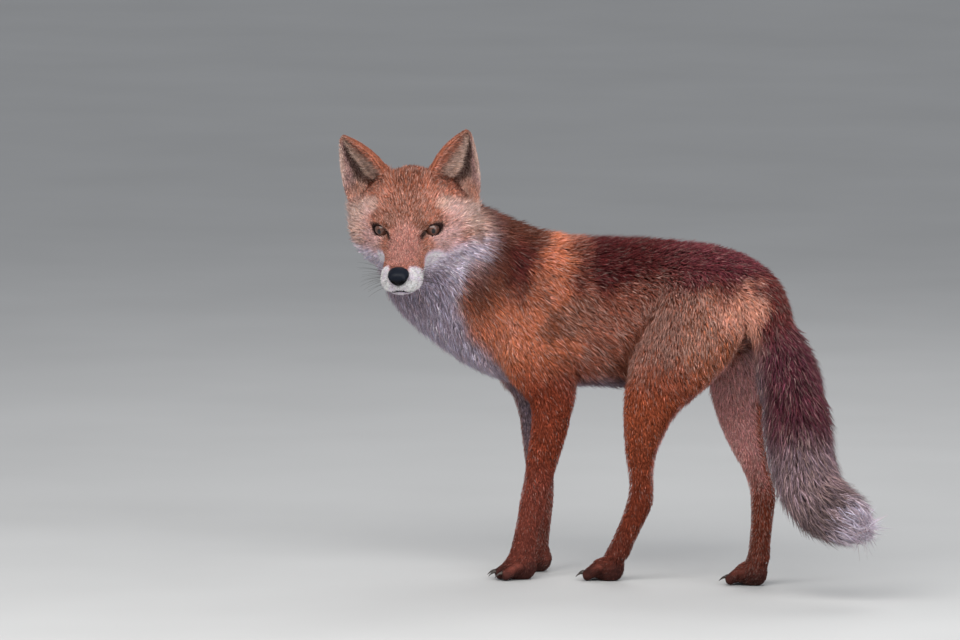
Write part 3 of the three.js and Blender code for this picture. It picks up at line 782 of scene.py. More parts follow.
def trunk_markings(g, body):
    """Neck, trunk, shoulders and thighs. Every marking function gives the colour, and the shares
    of pale-tipped and dark-tipped hairs."""
    x, _, z = body.T
    s, turn = g.s, g.turn

    def spot(at, reach):
        return blob(body[:, ::2], at, reach)

    band = spot((-98, 356), (27, 50)) * smooth(55, 90, turn)
    edge = np.interp(x, [-40, 0, 60, 130, 180], [318, 308, 322, 322, 334])
    saddle = smooth(-22, 22, z - edge) * smooth(-56, -8, x)
    thigh = spot((88, 300), (56, 62)) * (1 - 0.75 * saddle)
    front = x - np.interp(z, [205, 219, 250, 288, 322], [26, 28, 33, 53, 87])
    # A strip just ahead of the thigh's front edge, darkened as painted shade where the flank meets
    # the thigh.
    hollow = smooth(-26, -7, front) * smooth(3, -4, front)
    hollow = hollow * smooth(210, 235, z) * smooth(322, 300, z)
    rim = smooth(-5, 3, front) * smooth(28, 8, front) * smooth(200, 225, z) * smooth(330, 305, z)
    edge = [104, 90, 74, 59, 49, 43, 41, 31, 10]
    edge = np.interp(s, [0, 1.3, 1.6, 1.95, 2.5, 3.0, 4, 5, 6], edge)
    bib = smooth(9, -9, turn - edge) * smooth(6.3, 5.2, s)
    bib = bib * g.part("neck", "chest", *SKULL)
    nape = spot((-128, 346), (30, 52)) * g.part("neck") * (1 - bib)
    under = smooth(232, 208, z) * smooth(-75, -40, x) * smooth(130, 90, x)
    base = paint(
        RUST * 1.1,
        (BROWN * 1.9, smooth(-66, -18, x) * smooth(3, 5.5, s)),
        (ORANGE * 1.4, spot((-100, 258), (48, 66))),
        (ORANGE * 1.3, spot((-66, 285), (46, 54))),
        # the coat's orange behind the shoulder, made brighter as painted light where it faces the
        # sky
        (ORANGE * 1.5, spot((-54, 338), (24, 48))),
        (MAROON, band * 0.94),
        (BROWN * 0.6, smooth(120, 160, turn) * smooth(4.3, 3.0, s)),
        (MAROON * 0.85, saddle),
        (colour(0.14, 0.03, 0.04), saddle * smooth(40, 100, x)),
        (colour(0.2, 0.085, 0.062), spot((-26, 291), (36, 24)) * 0.7),
        (BROWN * 0.6, spot((-58, 281), (10, 20)) * 0.5),
        (BROWN * 1.0, spot((-80, 320), (32, 20)) * 0.6),
        (BROWN * 1.3, spot((8, 270), (30, 50)) * (1 - saddle) * 0.7),
        (GREY * 0.55, under * 0.7),
        (GREY * 0.8, smooth(42, 15, turn) * smooth(5, 6, s) * smooth(11, 10, s)),
        (BROWN * 0.95, thigh * 0.6),
        (ORANGE * 0.95, spot((122, 262), (36, 60)) * 0.9),
        # painted shade ahead of the thigh
        (BROWN * 0.55, hollow * 0.8),
        (BROWN * 1.5, rim * 0.6),
        (MAROON * 1.1, smooth(166, 182, x) * smooth(262, 292, z) * 0.9),
        # the buttock's paler buff, brightened further as painted light where it faces up
        (GOLD * 1.3, spot((152, 303), (24, 28))),
        (BIB, bib),
        # painted shade under the chin: the bib's top darker where it turns under
        (BIB * 0.38, bib * smooth(2.2, 0.8, s) * smooth(70, 52, turn) * 0.8),
        (WHITE * 0.8, bib * smooth(2.3, 1.7, s) * smooth(56, 70, turn) * 0.8),
        (WHITE * 0.6, bib * smooth(40, 8, turn) * smooth(2.5, 4, s) * 0.6),
        (BROWN * 0.8, nape * 0.85),
    )
    frost = 0.3 * (1 - 0.7 * band) * (1 - 0.5 * saddle)
    frost = np.maximum(frost, 0.8 * thigh)
    # no pale tips in the painted shade ahead of the thigh
    frost = np.maximum(frost * (1 - hollow), 0.95 * rim)
    frost = (frost * (1 - bib) + 0.6 * bib) * (1 - 0.6 * nape)
    return base, frost, 0.04 + 0.2 * saddle


def tail_markings(g):
    pale = ASH * 1.05
    tone = paint(
        BRUSH,
        (pale * 0.7, smooth(120, 50, g.turn) * 0.8),
        (pale, smooth(15.6, 16.8, g.s) * 0.9),
        (pale * 0.5, smooth(17.9, 18.6, g.s) * 0.8),
        (WHITE * 0.5, smooth(19.0, 19.8, g.s)),
        (RUST * 0.6, smooth(14.5, 13, g.s) * smooth(120, 60, g.turn) * 0.5),
    )
    return tone, 0.3 + 0.4 * smooth(16, 19, g.s), 0.3 * smooth(20.0, 19.2, g.s)


def leg_markings(g, leg, z):
    """Colour below elbow and knee, how far each point faces inward, and the inner side's colour."""
    outward = np.zeros(len(z))
    for side, sign in (("left", -1), ("right", 1)):
        own = sum(g.node(f"{k}_{side}") for k in LEG_NODES[leg])
        outward += own * (g.n_body @ (sign * OUTWARD[leg]))
    inner = smooth(0.05, -0.65, outward)
    fore = leg == "fore"
    pale = GREY * 0.85 if fore else colour(0.62, 0.3, 0.3)
    tone = paint(
        LEG,
        (LEG * 1.25 if fore else colour(0.36, 0.088, 0.04), smooth(90, 190, z)),
        (colour(0.28, 0.072, 0.05), smooth(140, 95, z) * (0.8 if fore else 0)),
        (SOCK, smooth(80, 20, z) * 0.7),
        (pale, inner * smooth(80, 160, z) * 0.85),
        (DARK * 1.6, smooth(26, 6, z) * 0.8),
    )
    return tone, inner, pale


BROW = np.array([[-22, 38, 17], [-28, 47, 11], [-33, 57, 2]], float)
TEAR = np.array([[9, 17, -3], [20, 16.5, -3], [33, 21, -11], [42, 22, -19], [48, 24, -24]], float)


def face_markings(g, h):
    """The rusty face with its pale cheeks, white lips and dark tear lines, alike on both sides."""
    hx, hy, hz = h.T
    ay = np.abs(hy)
    p = np.stack([hx, ay, hz], 1)

    def spot(at, reach, *edge):
        return blob(p, at, reach, *edge)

    outline = np.maximum(smooth(46, 60, hy), smooth(40, 53, -hy)) * smooth(26, 12, hz)
    ruff = smooth(-18, -32, hz) * smooth(12, -12, hx) * smooth(-50, -34, hx)
    ruff = ruff * smooth(22, 40, ay + 0.9 * np.maximum(-hz - 24, 0))
    lip_line = np.interp(hx, [0, 20, 40, 52, 60, 70], [-34, -33, -27.5, -20, -15, -12])
    muzzle = smooth(2.0, -2.0, hz - lip_line) * smooth(20, 30, hx)
    muzzle = muzzle * smooth(7.5, 10.5, ay + 2.2 * np.maximum(-24 - hz, 0))
    throat = smooth(-42, -56, hz) * smooth(24, -4, hx)
    face = paint(
        RUST * 1.15,
        (RUST * 0.85, spot((-8, 0, 26), (26, 20, 20)) * 0.8),
        (colour(0.46, 0.2, 0.165), spot((34, 0, -4), (36, 20, 26))),
        (RUST * 0.72, spot((-36, 0, 48), (30, 26, 16)) * 0.9),
        (RUST * 0.45, spot((0, 16, 8), (12, 9, 10)) * 0.6),
        (CREAM * 0.9, smooth(13, 5, line_distance(p, BROW)) * 0.8),
        (colour(0.68, 0.44, 0.43), spot((-8, 38, -14), (24, 16, 12)) * 0.8),
        (colour(0.68, 0.44, 0.42), spot((-26, 50, 3), (22, 17, 15)) * 0.6),
        (CREAM * 0.9, outline * 0.85),
        (MAROON * 1.3, smooth(6.0, 1.5, line_distance(p, TEAR)) * smooth(54, 46, hx) * 0.8),
        (DARK * 0.9, spot((-3, 17, -3.5), (18, 4.0, 5.5), (1.3, 0.7)) * 0.95),
        (colour(0.88, 0.76, 0.9), ruff * 0.9),
        (WHITE * 0.66, smooth(-30, -38, hz + 0.1 * hx) * smooth(30, 22, hx)),
        (WHITE, spot((13, 31, -33), (20, 16, 13.5), (1.25, 0.8))),
        (WHITE * 1.08, muzzle),
        (BROWN * 0.9, spot((45, 24, -25), (6, 5, 4.5), (1.3, 0.6)) * 0.8),
        (WHITE * 0.95, smooth(-38, -44, hz) * smooth(0, 20, hx)),
        (BIB * 0.8, throat * smooth(46, 26, ay)),
        (DARK * 0.4, smooth(1.7, 1.0, line_distance(g.head, MOUTH))),
        *((DARK, smooth(0.38, 0.2, eye_distance(g.head, mirror)) * 0.95) for mirror in (1, -1)),
    )
    frost = 0.6 - 0.3 * spot((-36, 0, 48), (34, 34, 20)) - 0.3 * spot((40, 0, -10), (30, 16, 30))
    return face, frost, 0.02


def ear_markings(g, name):
    """Dark behind, pale within with a dark hollow, rusty along the inner rim and at the tip."""
    along, over, front, *_ = ear_coords(g.head, name)
    inside = smooth(-0.25, 0.2, g.n_head @ front)
    middle = np.interp(along, [0, 0.2, 0.4, 0.7], [0.15, 0.38, 0.45, 0.56])
    hollow = smooth(0.36, 0.14, np.abs(over - middle)) * smooth(-0.12, 0.05, along)
    hollow = hollow * smooth(0.86, 0.72, along)
    behind = paint(
        DARK * 1.1,
        (RUST * 0.7, smooth(0.34, 0.05, along)),
        (RUST * 0.9, smooth(0.72, 0.95, np.abs(over))),
        (RUST * 0.8, smooth(0.86, 0.96, along)),
    )
    within = paint(
        BUFF,
        (colour(0.34, 0.2, 0.19), smooth(0.5, 0.75, over)),
        (DARK * 1.8, hollow * 0.95),
        (GOLD * 0.75, smooth(0.22, 0.0, along) * smooth(0.3, 0.6, over) * 0.9),
        (RUST * 1.25, smooth(-0.4, -0.75, over)),
        (CREAM * 0.8, smooth(0.8, 0.95, over) * smooth(0.0, 0.25, along)),
        (GOLD * 0.6, smooth(0.8, 0.93, along)),
    )
    return paint(behind, (within, inside)), 0.45 * inside, 0


def markings(g):
    """The colour at each point, how many of its hairs are pale-tipped and how many dark-tipped."""
    ragged = np.stack([noise_on(g.points, size * MM) for size in (30, 34, 28)], 1) * 6
    ragged += np.stack([noise_on(g.points, size * MM) for size in (11, 10, 12)], 1) * 2.5
    body = g.body + ragged
    z = body[:, 2]
    marks = trunk_markings(g, body)
    for leg, (upper, *lower) in LEG_NODES.items():
        tone, inner, pale = leg_markings(g, leg, z)
        upper = g.part(upper)
        share = np.clip(g.part(*lower) + upper * smooth(262, 205, z), 0, 1)
        base, frost, _ = blend(marks, (tone, 0.07 + 0.4 * inner, 0), share)
        base = paint(base, (pale, upper * inner * smooth(285, 250, z) * 0.9))
        marks = base, frost, marks[2]
    marks = blend(marks, tail_markings(g), g.part(*TAIL))
    marks = blend(marks, face_markings(g, g.head + ragged * 0.2), g.part(*SKULL))
    for name in EARS:
        marks = blend(marks, ear_markings(g, name), g.node(name))
    mottle = 1 + 0.1 * noise_on(g.points, 16 * MM) + 0.08 * noise_on(g.points, 7 * MM)
    base, frost, black = marks
    base = np.clip(base * mottle[:, None], LEAST, MOST)
    return base, np.clip(frost, 0, 1), np.clip(black, 0, 1)


# ---- Materials ----


# By material: the scale and detail of a noise, where its ramp starts and the shades at both of
# its ends, roughness, specular level, and the bump's strength and height in mm.
MATERIALS = {
    "fur": (260, 4, 0.3, (0.8, 0.78, 0.77), (1.15, 1.13, 1.12), 0.62, 0.08),
    "skin": (260, 4, 0.3, (0.8, 0.78, 0.77), (1.15, 1.13, 1.12), 0.7, 0.08, 0.5, 0.4),
    "eye": (1500, 3, 0.3, (0.75, 0.75, 0.75), (1.25, 1.2, 1.15), 0.6, 0.02),
    "nose": (1400, 2, 0.35, (0.6, 0.6, 0.6), (1.3, 1.3, 1.3), 0.4, 0.1, 0.4, 0.25),
    "lips": (900, 4, 0.35, (0.004, 0.003, 0.004), (0.012, 0.009, 0.01), 0.6, 0.15, 0.3, 0.3),
    "whisker": (400, 4, 0.35, (0.02, 0.014, 0.012), (0.05, 0.04, 0.035), 0.4, 0.3, 0.1, 0.3),
    "claw": (500, 4, 0.35, (0.02, 0.015, 0.012), (0.07, 0.055, 0.045), 0.35, 0.3, 0.2, 0.3),
    "floor": (3, 2, 0.3, (0.44, 0.44, 0.437), (0.47, 0.47, 0.467), 0.9, 0.5),
}
RAMP_END = 0.7
SHADES = ("fur", "skin", "eye", "nose")  # the materials that shade the mesh's own colour
GLAZES = {"eye": (1.0, 0.02, 1.5), "claw": (0.2, 0.15, 1.5)}  # weight, roughness, IOR
SKIN_STREAK = (900, 2)  # the scale and detail of the skin's own bump


def material(name):
    scale, detail, start, low, high, roughness, specular, *bumps = MATERIALS[name]
    m = bpy.data.materials.new(name)
    m.use_nodes = True
    nodes, links = m.node_tree.nodes, m.node_tree.links
    shader = nodes["Principled BSDF"]

    def node(kind_, **values):
        made = nodes.new("ShaderNode" + kind_)
        for key, value in values.items():
            made.inputs[key].default_value = value
        return made

    def noise(scale, detail):
        made = node("TexNoise", Scale=scale, Detail=detail)
        links.new(node("TexCoord").outputs["Object"], made.inputs["Vector"])
        return made.outputs[0]

    ramp = node("ValToRGB")
    for element, at, rgb in zip(ramp.color_ramp.elements, (start, RAMP_END), (low, high)):
        element.position = at
        element.color = (*rgb, 1)
    links.new(noise(scale, detail), ramp.inputs[0])
    tone = ramp.outputs[0]
    if name in SHADES:
        own = node("Attribute")
        own.attribute_name = "coat"
        mix = node("Mix")
        mix.data_type = "RGBA"
        mix.blend_type = "MULTIPLY"
        mix.inputs[0].default_value = 1.0
        links.new(own.outputs["Color"], mix.inputs[6])
        links.new(tone, mix.inputs[7])
        tone = mix.outputs[2]
    links.new(tone, shader.inputs["Base Color"])
    look = {"Roughness": roughness, "Specular IOR Level": specular}
    if name in GLAZES:
        look |= dict(zip(("Coat Weight", "Coat Roughness", "Coat IOR"), GLAZES[name]))
    for key, value in look.items():
        shader.inputs[key].default_value = value
    if bumps:
        strength, height = bumps
        bump = node("Bump", Strength=strength, Distance=height * MM)
        grain = noise(*SKIN_STREAK) if name == "skin" else noise(scale, detail)
        links.new(grain, bump.inputs["Height"])
        links.new(bump.outputs["Normal"], shader.inputs["Normal"])
    return m


# ---- Coat ----

TUFT_ROOT_SINK = 0.5  # mm that a tuft starts under the skin
TUFT_FACES = np.array([[0, 2, 1], [0, 3, 2], [0, 1, 3], [4, 1, 2], [4, 2, 3], [4, 3, 1]])
TUFT_MIDDLE = 0.42  # of its way along the skin, where a tuft is widest
TUFT_RISE = 0.66  # of its height, that it has reached there
TUFT_UV = np.array([[0.5, 0], [0, 0.45], [1, 0.45], [0.5, 0.6], [0.5, 1]])
PATCH = 0.003  # how wide and high a tuft's patch of the unwrap is
FACE_BACK = -14  # mm ahead of the irises, where the face's piece ends and the crown's begins


def spread_roots(g, density):
    """Even, random roots on the faces, walked in an order that keeps neighbours together."""
    area = np.linalg.norm(face_normals(g.points, g.quads), axis=1) / 2 / MM**2
    amount = area * density[g.quads].mean(1)
    cell = ((g.points[g.quads].mean(1) - g.points.min(0)) / (4 * MM)).astype(np.uint64)
    key = np.zeros(len(cell), np.uint64)
    for bit in range(9):
        for axis in range(3):
            key |= ((cell[:, axis] >> np.uint64(bit)) & np.uint64(1)) << np.uint64(3 * bit + axis)
    order = np.argsort(key, kind="stable")
    run = np.cumsum(amount[order])
    count = int(run[-1])
    at = (np.arange(count) + rng.random(count)) * run[-1] / count
    face = order[np.minimum(np.searchsorted(run, at), len(order) - 1)]
    u, v = rng.random(count), rng.random(count)
    weights = np.stack([(1 - u) * (1 - v), u * (1 - v), u * v, (1 - u) * v], 1)
    return face, weights


def follow_skin(points, normals, height, field):
    """Draws points to their own height over the curving skin."""
    for _ in range(2):
        step = np.clip(height - field.at(points), -9 * MM, 9 * MM)
        points = points + normals * step[:, None] * 0.9
    return points


def tuft_points(r, field):
    """The five points of each tuft, a thin closed spindle of three sides, from the root on."""
    keys = ("point", "normal", "lie", "length", "height")
    point, normal, lie, length, height = (r[k] for k in keys)
    side = unit(np.cross(normal, lie))
    flat = np.sqrt(np.maximum(length**2 - height**2, (0.3 * length) ** 2))
    start = point - normal * (TUFT_ROOT_SINK * MM)
    middle = point + lie * (TUFT_MIDDLE * flat)[:, None] + normal * (TUFT_RISE * height)[:, None]
    tip = point + lie * flat[:, None] + normal * height[:, None]
    free = (r["kind"] == "ear")[:, None] * 1.0  # an ear's own field is only in its thin shell
    middle = free * middle + (1 - free) * follow_skin(middle, normal, TUFT_RISE * height, field)
    tip = free * tip + (1 - free) * follow_skin(tip, normal, height, field)
    tip = tip + side * (r["curl"] * length)[:, None]
    middle = middle - side * (0.25 * r["curl"] * length)[:, None]
    half = (r["width"] / 2)[:, None]
    up = unit(np.cross(unit(tip - middle), side))
    ring = [middle + side * half, middle - side * half, middle + up * half * 0.9]
    return np.stack([start, *ring, tip], 1)


def unwrap(points, part):
    """A tile for each part of the skin, unwrapped round its own long axis."""
    parts = np.unique(part)
    across = math.ceil(math.sqrt(len(parts)))
    uv = np.empty((len(points), 2))
    for i, one in enumerate(parts):
        own = points[part == one]
        mid = own.mean(0)
        some = own[:: max(1, len(own) // 4000)]
        axes = np.linalg.svd(some - mid, full_matrices=False)[2]
        x, y, z = ((own - mid) @ axes.T).T
        tile = [(np.arctan2(z, y) / math.pi + 1) / 2, (x - x.min()) / max(np.ptp(x), 1e-6)]
        corner = np.array([i % across, i // across]) + 0.02
        uv[part == one] = (corner + 0.96 * np.stack(tile, 1)) / across
    return uv * 0.99 + 0.003


def coat_piece(name, r, coat, field):
    """One piece of the coat, under 200,000 triangles, from the rows of its roots."""
    points = tuft_points(r, field)
    n, per = points.shape[:2]
    faces = (TUFT_FACES[None] + (np.arange(n) * per)[:, None, None]).reshape(-1, 3)
    rgb = np.stack([r["dark"], r["base"], r["base"], r["base"], r["tip"]], 1).reshape(-1, 3)
    ob = piece(name, points.reshape(-1, 3), [faces], coat, rgb)
    uv = unwrap(r["point"], r["part"])[:, None, :] + (TUFT_UV * PATCH)[None] - PATCH / 2
    layer = ob.data.uv_layers.new(name="OFBake")
    layer.data.foreach_set("uv", uv.reshape(-1, 2)[faces.ravel()].astype(np.float32).ravel())


# The kinds of node that each piece of the coat grows on; the crown takes what the face leaves.
PIECES = {
    "coat_face": SKULL,
    "coat_crown": SKULL,
    "coat_ears": ("ear",),
    "coat_neck": ("neck",),
    "coat_chest": ("chest",),
    "coat_belly": ("belly",),
    "coat_rump": ("rump",),
    "coat_shoulders": ("shoulder",),
    "coat_thighs": ("thigh",),
    "coat_forelegs": ("forearm", "forefoot"),
    "coat_hindlegs": ("shank", "hindfoot"),
    "coat_paws": ("forepaw", "hindpaw"),
    "coat_tail": TAIL,
}


def grow_coat(g, base, frost, black, body_field, head_field):
    """Every tuft with its own size, sway and tones, then the pieces that they make up."""
    length, width, density, depth = hair_sizes(g)
    face, weights = spread_roots(g, density)
    n = len(face)

    def take(values):
        v = values[g.quads[face]]
        return (v * (weights if v.ndim == 2 else weights[:, :, None])).sum(1)

    main = g.main[g.quads[face, 0]]
    t = {
        "point": take(g.points),
        "normal": unit(take(g.normals)),
        "length": take(length) * MM * rng.normal(1, 0.16, n).clip(0.5, 1.5),
        "height": take(depth) * MM * rng.normal(1.02, 0.22, n).clip(0.4, 1.45),
        "width": take(width) * MM * rng.normal(1, 0.2, n).clip(0.5, 1.5),
        "kind": g.kinds[main],
        "hx": take(g.head[:, 0]),
        "curl": rng.normal(0, 0.05, n),
    }
    lie = tangent(take(hair_lie(g)), t["normal"])
    side = np.cross(t["normal"], lie)
    sway = take(noise_on(g.points, 22 * MM)) * 0.25 + rng.normal(0, 0.13, n)
    t["lie"] = unit(lie + side * sway[:, None])
    t["height"] = np.minimum(t["height"], 0.8 * t["length"])
    tone = take(base)
    bright = np.exp(rng.normal(0, 0.36, n)).clip(0.35, 2.2)[:, None]
    bright = bright ** (1 - 0.65 * smooth(0.35, 0.8, tone[:, :1]))
    warm = rng.normal(0, 0.05, n)[:, None] * np.array([1, 0, -1])
    tone = np.clip(tone * bright * (1 + warm), LEAST, MOST)
    pale = rng.random(n) < take(frost)
    dark = rng.random(n) < take(black)
    amount = (pale * rng.uniform(0.3, 1.0, n))[:, None]
    light = np.maximum(tone * 1.4, CREAM * (0.3 + 0.7 * smooth(0.05, 0.45, tone[:, :1])))
    tip = tone * 1.2 * (1 - amount) + light * amount
    tip = np.where(dark[:, None], tip * 0.35, tip)
    middle = tone * (1 - 0.4 * amount) + light * 0.4 * amount
    t["base"], t["tip"] = np.clip(middle, LEAST, MOST), np.clip(tip, LEAST, MOST)
    # Each tuft's root: darker, as the hair's own darker base and as painted shade deep in the coat.
    t["dark"] = tone * (0.34 + 0.42 * smooth(0.25, 0.7, tone[:, :1]))
    t["width"] *= 1 + 0.35 * amount[:, 0]
    ear_inside = np.zeros(n, bool)
    for name in EARS:
        front = ear_coords(g.head[:1], name)[2]
        ear_inside |= (t["kind"] == "ear") & ((t["normal"] @ TURN @ HEAD_TURN @ front) > 0)
    t["part"] = main * 2 + ear_inside
    coat = material("fur")
    left = np.ones(n, bool)
    for name, kinds in PIECES.items():
        mine = np.isin(t["kind"], kinds) & left
        if name == "coat_face":
            mine &= t["hx"] > FACE_BACK
        left &= ~mine
        field = head_field if name in ("coat_face", "coat_crown") else body_field
        coat_piece(name, {key: values[mine] for key, values in t.items()}, coat, field)


# ---- Eyes, lids, nose, lips, whiskers, claws ----


def grid_faces(rows, columns):
    """The quads between rings of points."""
    i, j = np.mgrid[: rows - 1, :columns]
    a, b = i * columns + j, i * columns + (j + 1) % columns
    return np.stack([a, b, b + columns, a + columns], -1).reshape(-1, 4)


PUPIL = (0.21, 0.3)  # half its width and height, as angles from the gaze
IRIS = 0.82
CORNEA = (0.5, 0.62)  # mm that it bulges, and the angle that it spreads over


def build_eye(name, mirror, mat):
    gaze = eye_axes(mirror)[0]
    flat_a = np.cross(UP, gaze)
    flat_a /= np.linalg.norm(flat_a)
    flat_b = np.cross(gaze, flat_a)
    rows, columns = 40, 64
    t = np.repeat(np.linspace(0.02, math.pi - 0.02, rows), columns)
    f = np.tile(np.linspace(0, 2 * math.pi, columns, endpoint=False), rows)
    bulge = CORNEA[0] * np.exp(-((t / CORNEA[1]) ** 4))
    ring = np.outer(np.cos(f), flat_a) + np.outer(np.sin(f), flat_b)
    way = np.outer(np.cos(t), gaze) + ring * np.sin(t)[:, None]
    points = head_to_row(eye_centre(mirror) + way * (EYE_RADIUS - 0.1 + bulge)[:, None])
    ends = [np.arange(columns)[None, ::-1], (np.arange(columns) + (rows - 1) * columns)[None]]
    pupil = np.hypot(t * np.cos(f) / PUPIL[0], t * np.sin(f) / PUPIL[1])
    streak = 0.5 + 0.5 * np.sin(f * 23 + 3 * np.sin(f * 7))
    rgb = paint(
        colour(0.085, 0.034, 0.024)[None] * (0.6 + 0.5 * streak[:, None]),
        (colour(0.12, 0.056, 0.04), smooth(2.6, 1.2, pupil) * 0.6),
        (colour(0.03, 0.014, 0.01), smooth(0.78, 1.0, t / IRIS)),
        (BLACK, smooth(1.12, 0.95, pupil)),
    )
    faces = [grid_faces(rows, columns), *ends]
    piece(name, points, faces, mat, rgb, [name.replace("ball", "")])


# Across a lid: how far out from the opening, and how far above the eyeball.
LID_OUT = (0.95, 0.98, 1.02, 1.08, 1.18, 1.3, 1.42)
LID_LIFT = (-0.4, 0.3, 0.8, 1.05, 1.0, 0.4, -0.6)


def build_lids(mirror):
    """A dark-edged ring of lid that hugs the eyeball and runs out under the face's skin."""
    gaze, a, b = eye_axes(mirror)
    around = 56
    f = np.tile(2 * math.pi * np.arange(around) / around, len(LID_OUT))
    scale, lift = (np.repeat(v, around) for v in (LID_OUT, LID_LIFT))
    c, s = np.cos(f), np.sin(f)
    u = LID_OPEN[0] * np.where(c > 0, 1.0, 1.18) * c * scale
    tall = LID_OPEN[1] * np.where(s > 0, 1.0, 0.92)
    w = tall * np.copysign(np.abs(s) ** 1.15, s) * scale - 0.9 * np.maximum(-c, 0) ** 3
    r = EYE_RADIUS + lift + 0.25
    g = np.sqrt(np.maximum(r * r - u * u - w * w, (0.3 * r) ** 2))
    points = eye_centre(mirror) + np.outer(g, gaze) + np.outer(u, a) + np.outer(w, b)
    shades = DARK * np.where(scale < 1.1, 0.5, 1.0)[:, None]
    points = head_to_row(points)
    faces = grid_faces(len(LID_OUT), around)
    faces = facing_away(points, faces, head_to_row([eye_centre(mirror)]))
    return points, faces, shades


def tube(path, radii, sides=8):
    """The points and quads of a round tube along a path."""
    path = np.asarray(path, float)
    way = unit(np.gradient(path, axis=0))
    side = unit(np.cross(way, UP if abs(way[0, 2]) < 0.9 else [1.0, 0, 0]))
    up = np.cross(side, way)
    f = (2 * math.pi * np.arange(sides) / sides)[None, :, None]
    ring = side[:, None] * np.cos(f) + up[:, None] * np.sin(f)
    points = path[:, None] + ring * np.asarray(radii)[:, None, None]
    first, last = np.arange(sides)[::-1], np.arange(sides) + (len(path) - 1) * sides
    ends = [[c[0], c[i], c[i + 1], c[i + 2]] for c in (first, last) for i in range(1, sides - 2, 2)]
    return points.reshape(-1, 3), np.concatenate([grid_faces(len(path), sides), ends])


def rounded(path, per=6):
    """More points along a smooth curve through the given ones."""
    path = np.asarray(path, float)
    t = np.linspace(0, len(path) - 1, (len(path) - 1) * per + 1)
    i = np.minimum(t.astype(int), len(path) - 2)
    u = (t - i)[:, None]
    get = lambda k: path[np.clip(k, 0, len(path) - 1)]
    p, q, r, s = get(i - 1), get(i), get(i + 1), get(i + 2)
    bend, twist = 2 * p - 5 * q + 4 * r - s, 3 * q - p - 3 * r + s
    return 0.5 * (2 * q + (r - p) * u + bend * u**2 + twist * u**3)


# The nose's nostril and cleft, in its own axes.
NOSTRIL = np.array([[9.8, 4.4, -0.6], [9.2, 6.6, 0.4], [6.6, 9.4, 0.6], [3.0, 11.6, -1.2]])
CLEFT = np.array([[10.6, 0, 3.5], [10.4, 0, -2], [8.8, 0, -6], [5.5, 0, -10.0]])
NOSE_WING = (8.4, 8.0, 3.2)


def nose_axes(h):
    """The head's millimetres to the nose's own: ahead, to either side and up, leaning back."""
    p = h - NOSE_AT
    x = p[:, 0] * math.cos(NOSE_TILT) - p[:, 2] * math.sin(NOSE_TILT)
    z = p[:, 0] * math.sin(NOSE_TILT) + p[:, 2] * math.cos(NOSE_TILT)
    return np.stack([x, np.abs(p[:, 1]), z], 1)


def build_nose(mat):
    low, high, step = np.array([50, -16, -38]), np.array([84, 16, -6]), 0.5
    axes = [np.arange(low[k], high[k], step) for k in range(3)]
    h = np.stack(np.meshgrid(*axes, indexing="ij"), -1)
    p = nose_axes(h.reshape(-1, 3))
    narrow = 1 - 0.5 * smooth(2, -9, p[:, 2])
    q = p / np.stack([np.full(len(p), 9.8), 11.6 * narrow, np.full(len(p), 9.2)], 1)
    d = (np.sum(np.abs(q) ** 2.5, 1) ** (1 / 2.5) - 1) * 9
    d = -soft_min(-d, line_distance(p, NOSTRIL) - 2.3, 0.8)
    d = -soft_min(-d, line_distance(p, CLEFT) - 0.7, 0.5)
    d = d - 0.9 * np.exp(-(((p - np.array(NOSE_WING)) / 2.6) ** 2).sum(1))
    field = Field([0, 0, 0], (d * MM).reshape(h.shape[:3]).astype(np.float32), 1.0)
    points, quads = main_pieces(*field.mesh())
    h = relax(points, quads, 2) * step + low
    points, p = head_to_row(h), nose_axes(h)
    height = p[:, 2]
    # The nose pad's own colour is black; the rest is painted light and shade.
    rgb = paint(
        BLACK,
        # painted reflection: the top bluish
        (colour(0.006, 0.008, 0.014), smooth(-1, 5, height)),
        # painted sheen on the lower wings beside the nostrils
        (colour(0.016, 0.014, 0.017), smooth(-4.5, -7, height) * smooth(3, 6, p[:, 1])),
        # painted shade inside the nostrils
        (colour(0.0006, 0.0006, 0.0008), smooth(2.9, 2.2, line_distance(p, NOSTRIL))),
    )
    quads = facing_away(points, quads, points.mean(0))
    piece("nose_pad", points, [quads], mat, rgb, ["nose"])


def on_skin(path, field, height):
    """Moves a path in head millimetres out or in to `height` above the skin."""
    path = np.asarray(path, float)
    for _ in range(4):
        row = head_to_row(path)
        steps = np.eye(3) * 0.8 * MM
        slope = np.stack([field.at(row + e) - field.at(row - e) for e in steps], 1)
        off = field.at(row) / MM - height
        path = path - (unit(slope) @ TURN @ HEAD_TURN) * off[:, None] * 0.9
    return path


def build_lips(mat, field):
    path = on_skin(rounded(MOUTH, 5), field, 0.1)
    radii = 0.45 + 0.85 * np.cos(np.linspace(-math.pi / 2, math.pi / 2, len(path))) ** 0.7
    cleft = [[73.5, 0, -28.5], [72.0, 0, -31], [70.5, 0, -35], [69, 0, -39.5]]
    cleft = on_skin(rounded(cleft, 4), field, 0.1)
    points, faces = joined([tube(path, radii), tube(cleft, np.linspace(1.3, 0.7, len(cleft)))])
    piece("lips", head_to_row(points), [faces], mat)


WHISKER_RADIUS = 0.2


def build_whiskers(mat):
    tubes = []
    t = np.linspace(0, 1, 9)
    for mirror in (1, -1):
        for row in range(4):
            for k in range(4):
                root = np.array([58 - 5.5 * k, 15 + 2.2 * k, -27 - 3.8 * row + 0.6 * k])
                long_ = 24 + 6 * k + rng.uniform(-4, 4)
                ahead = -0.15 - 0.2 * k + rng.uniform(-0.1, 0.1)
                way = unit(np.array([ahead, 1.0, 0.1 - 0.18 * row]))
                droop = np.outer(t * t, [-0.25, 0, -0.28])
                path = (root + (np.outer(t, way) + droop) * long_) * np.array([1, mirror, 1])
                tubes.append(tube(path, WHISKER_RADIUS * (1 - 0.8 * t), 6))
    points, faces = joined(tubes)
    piece("whiskers", head_to_row(points), [faces], mat)


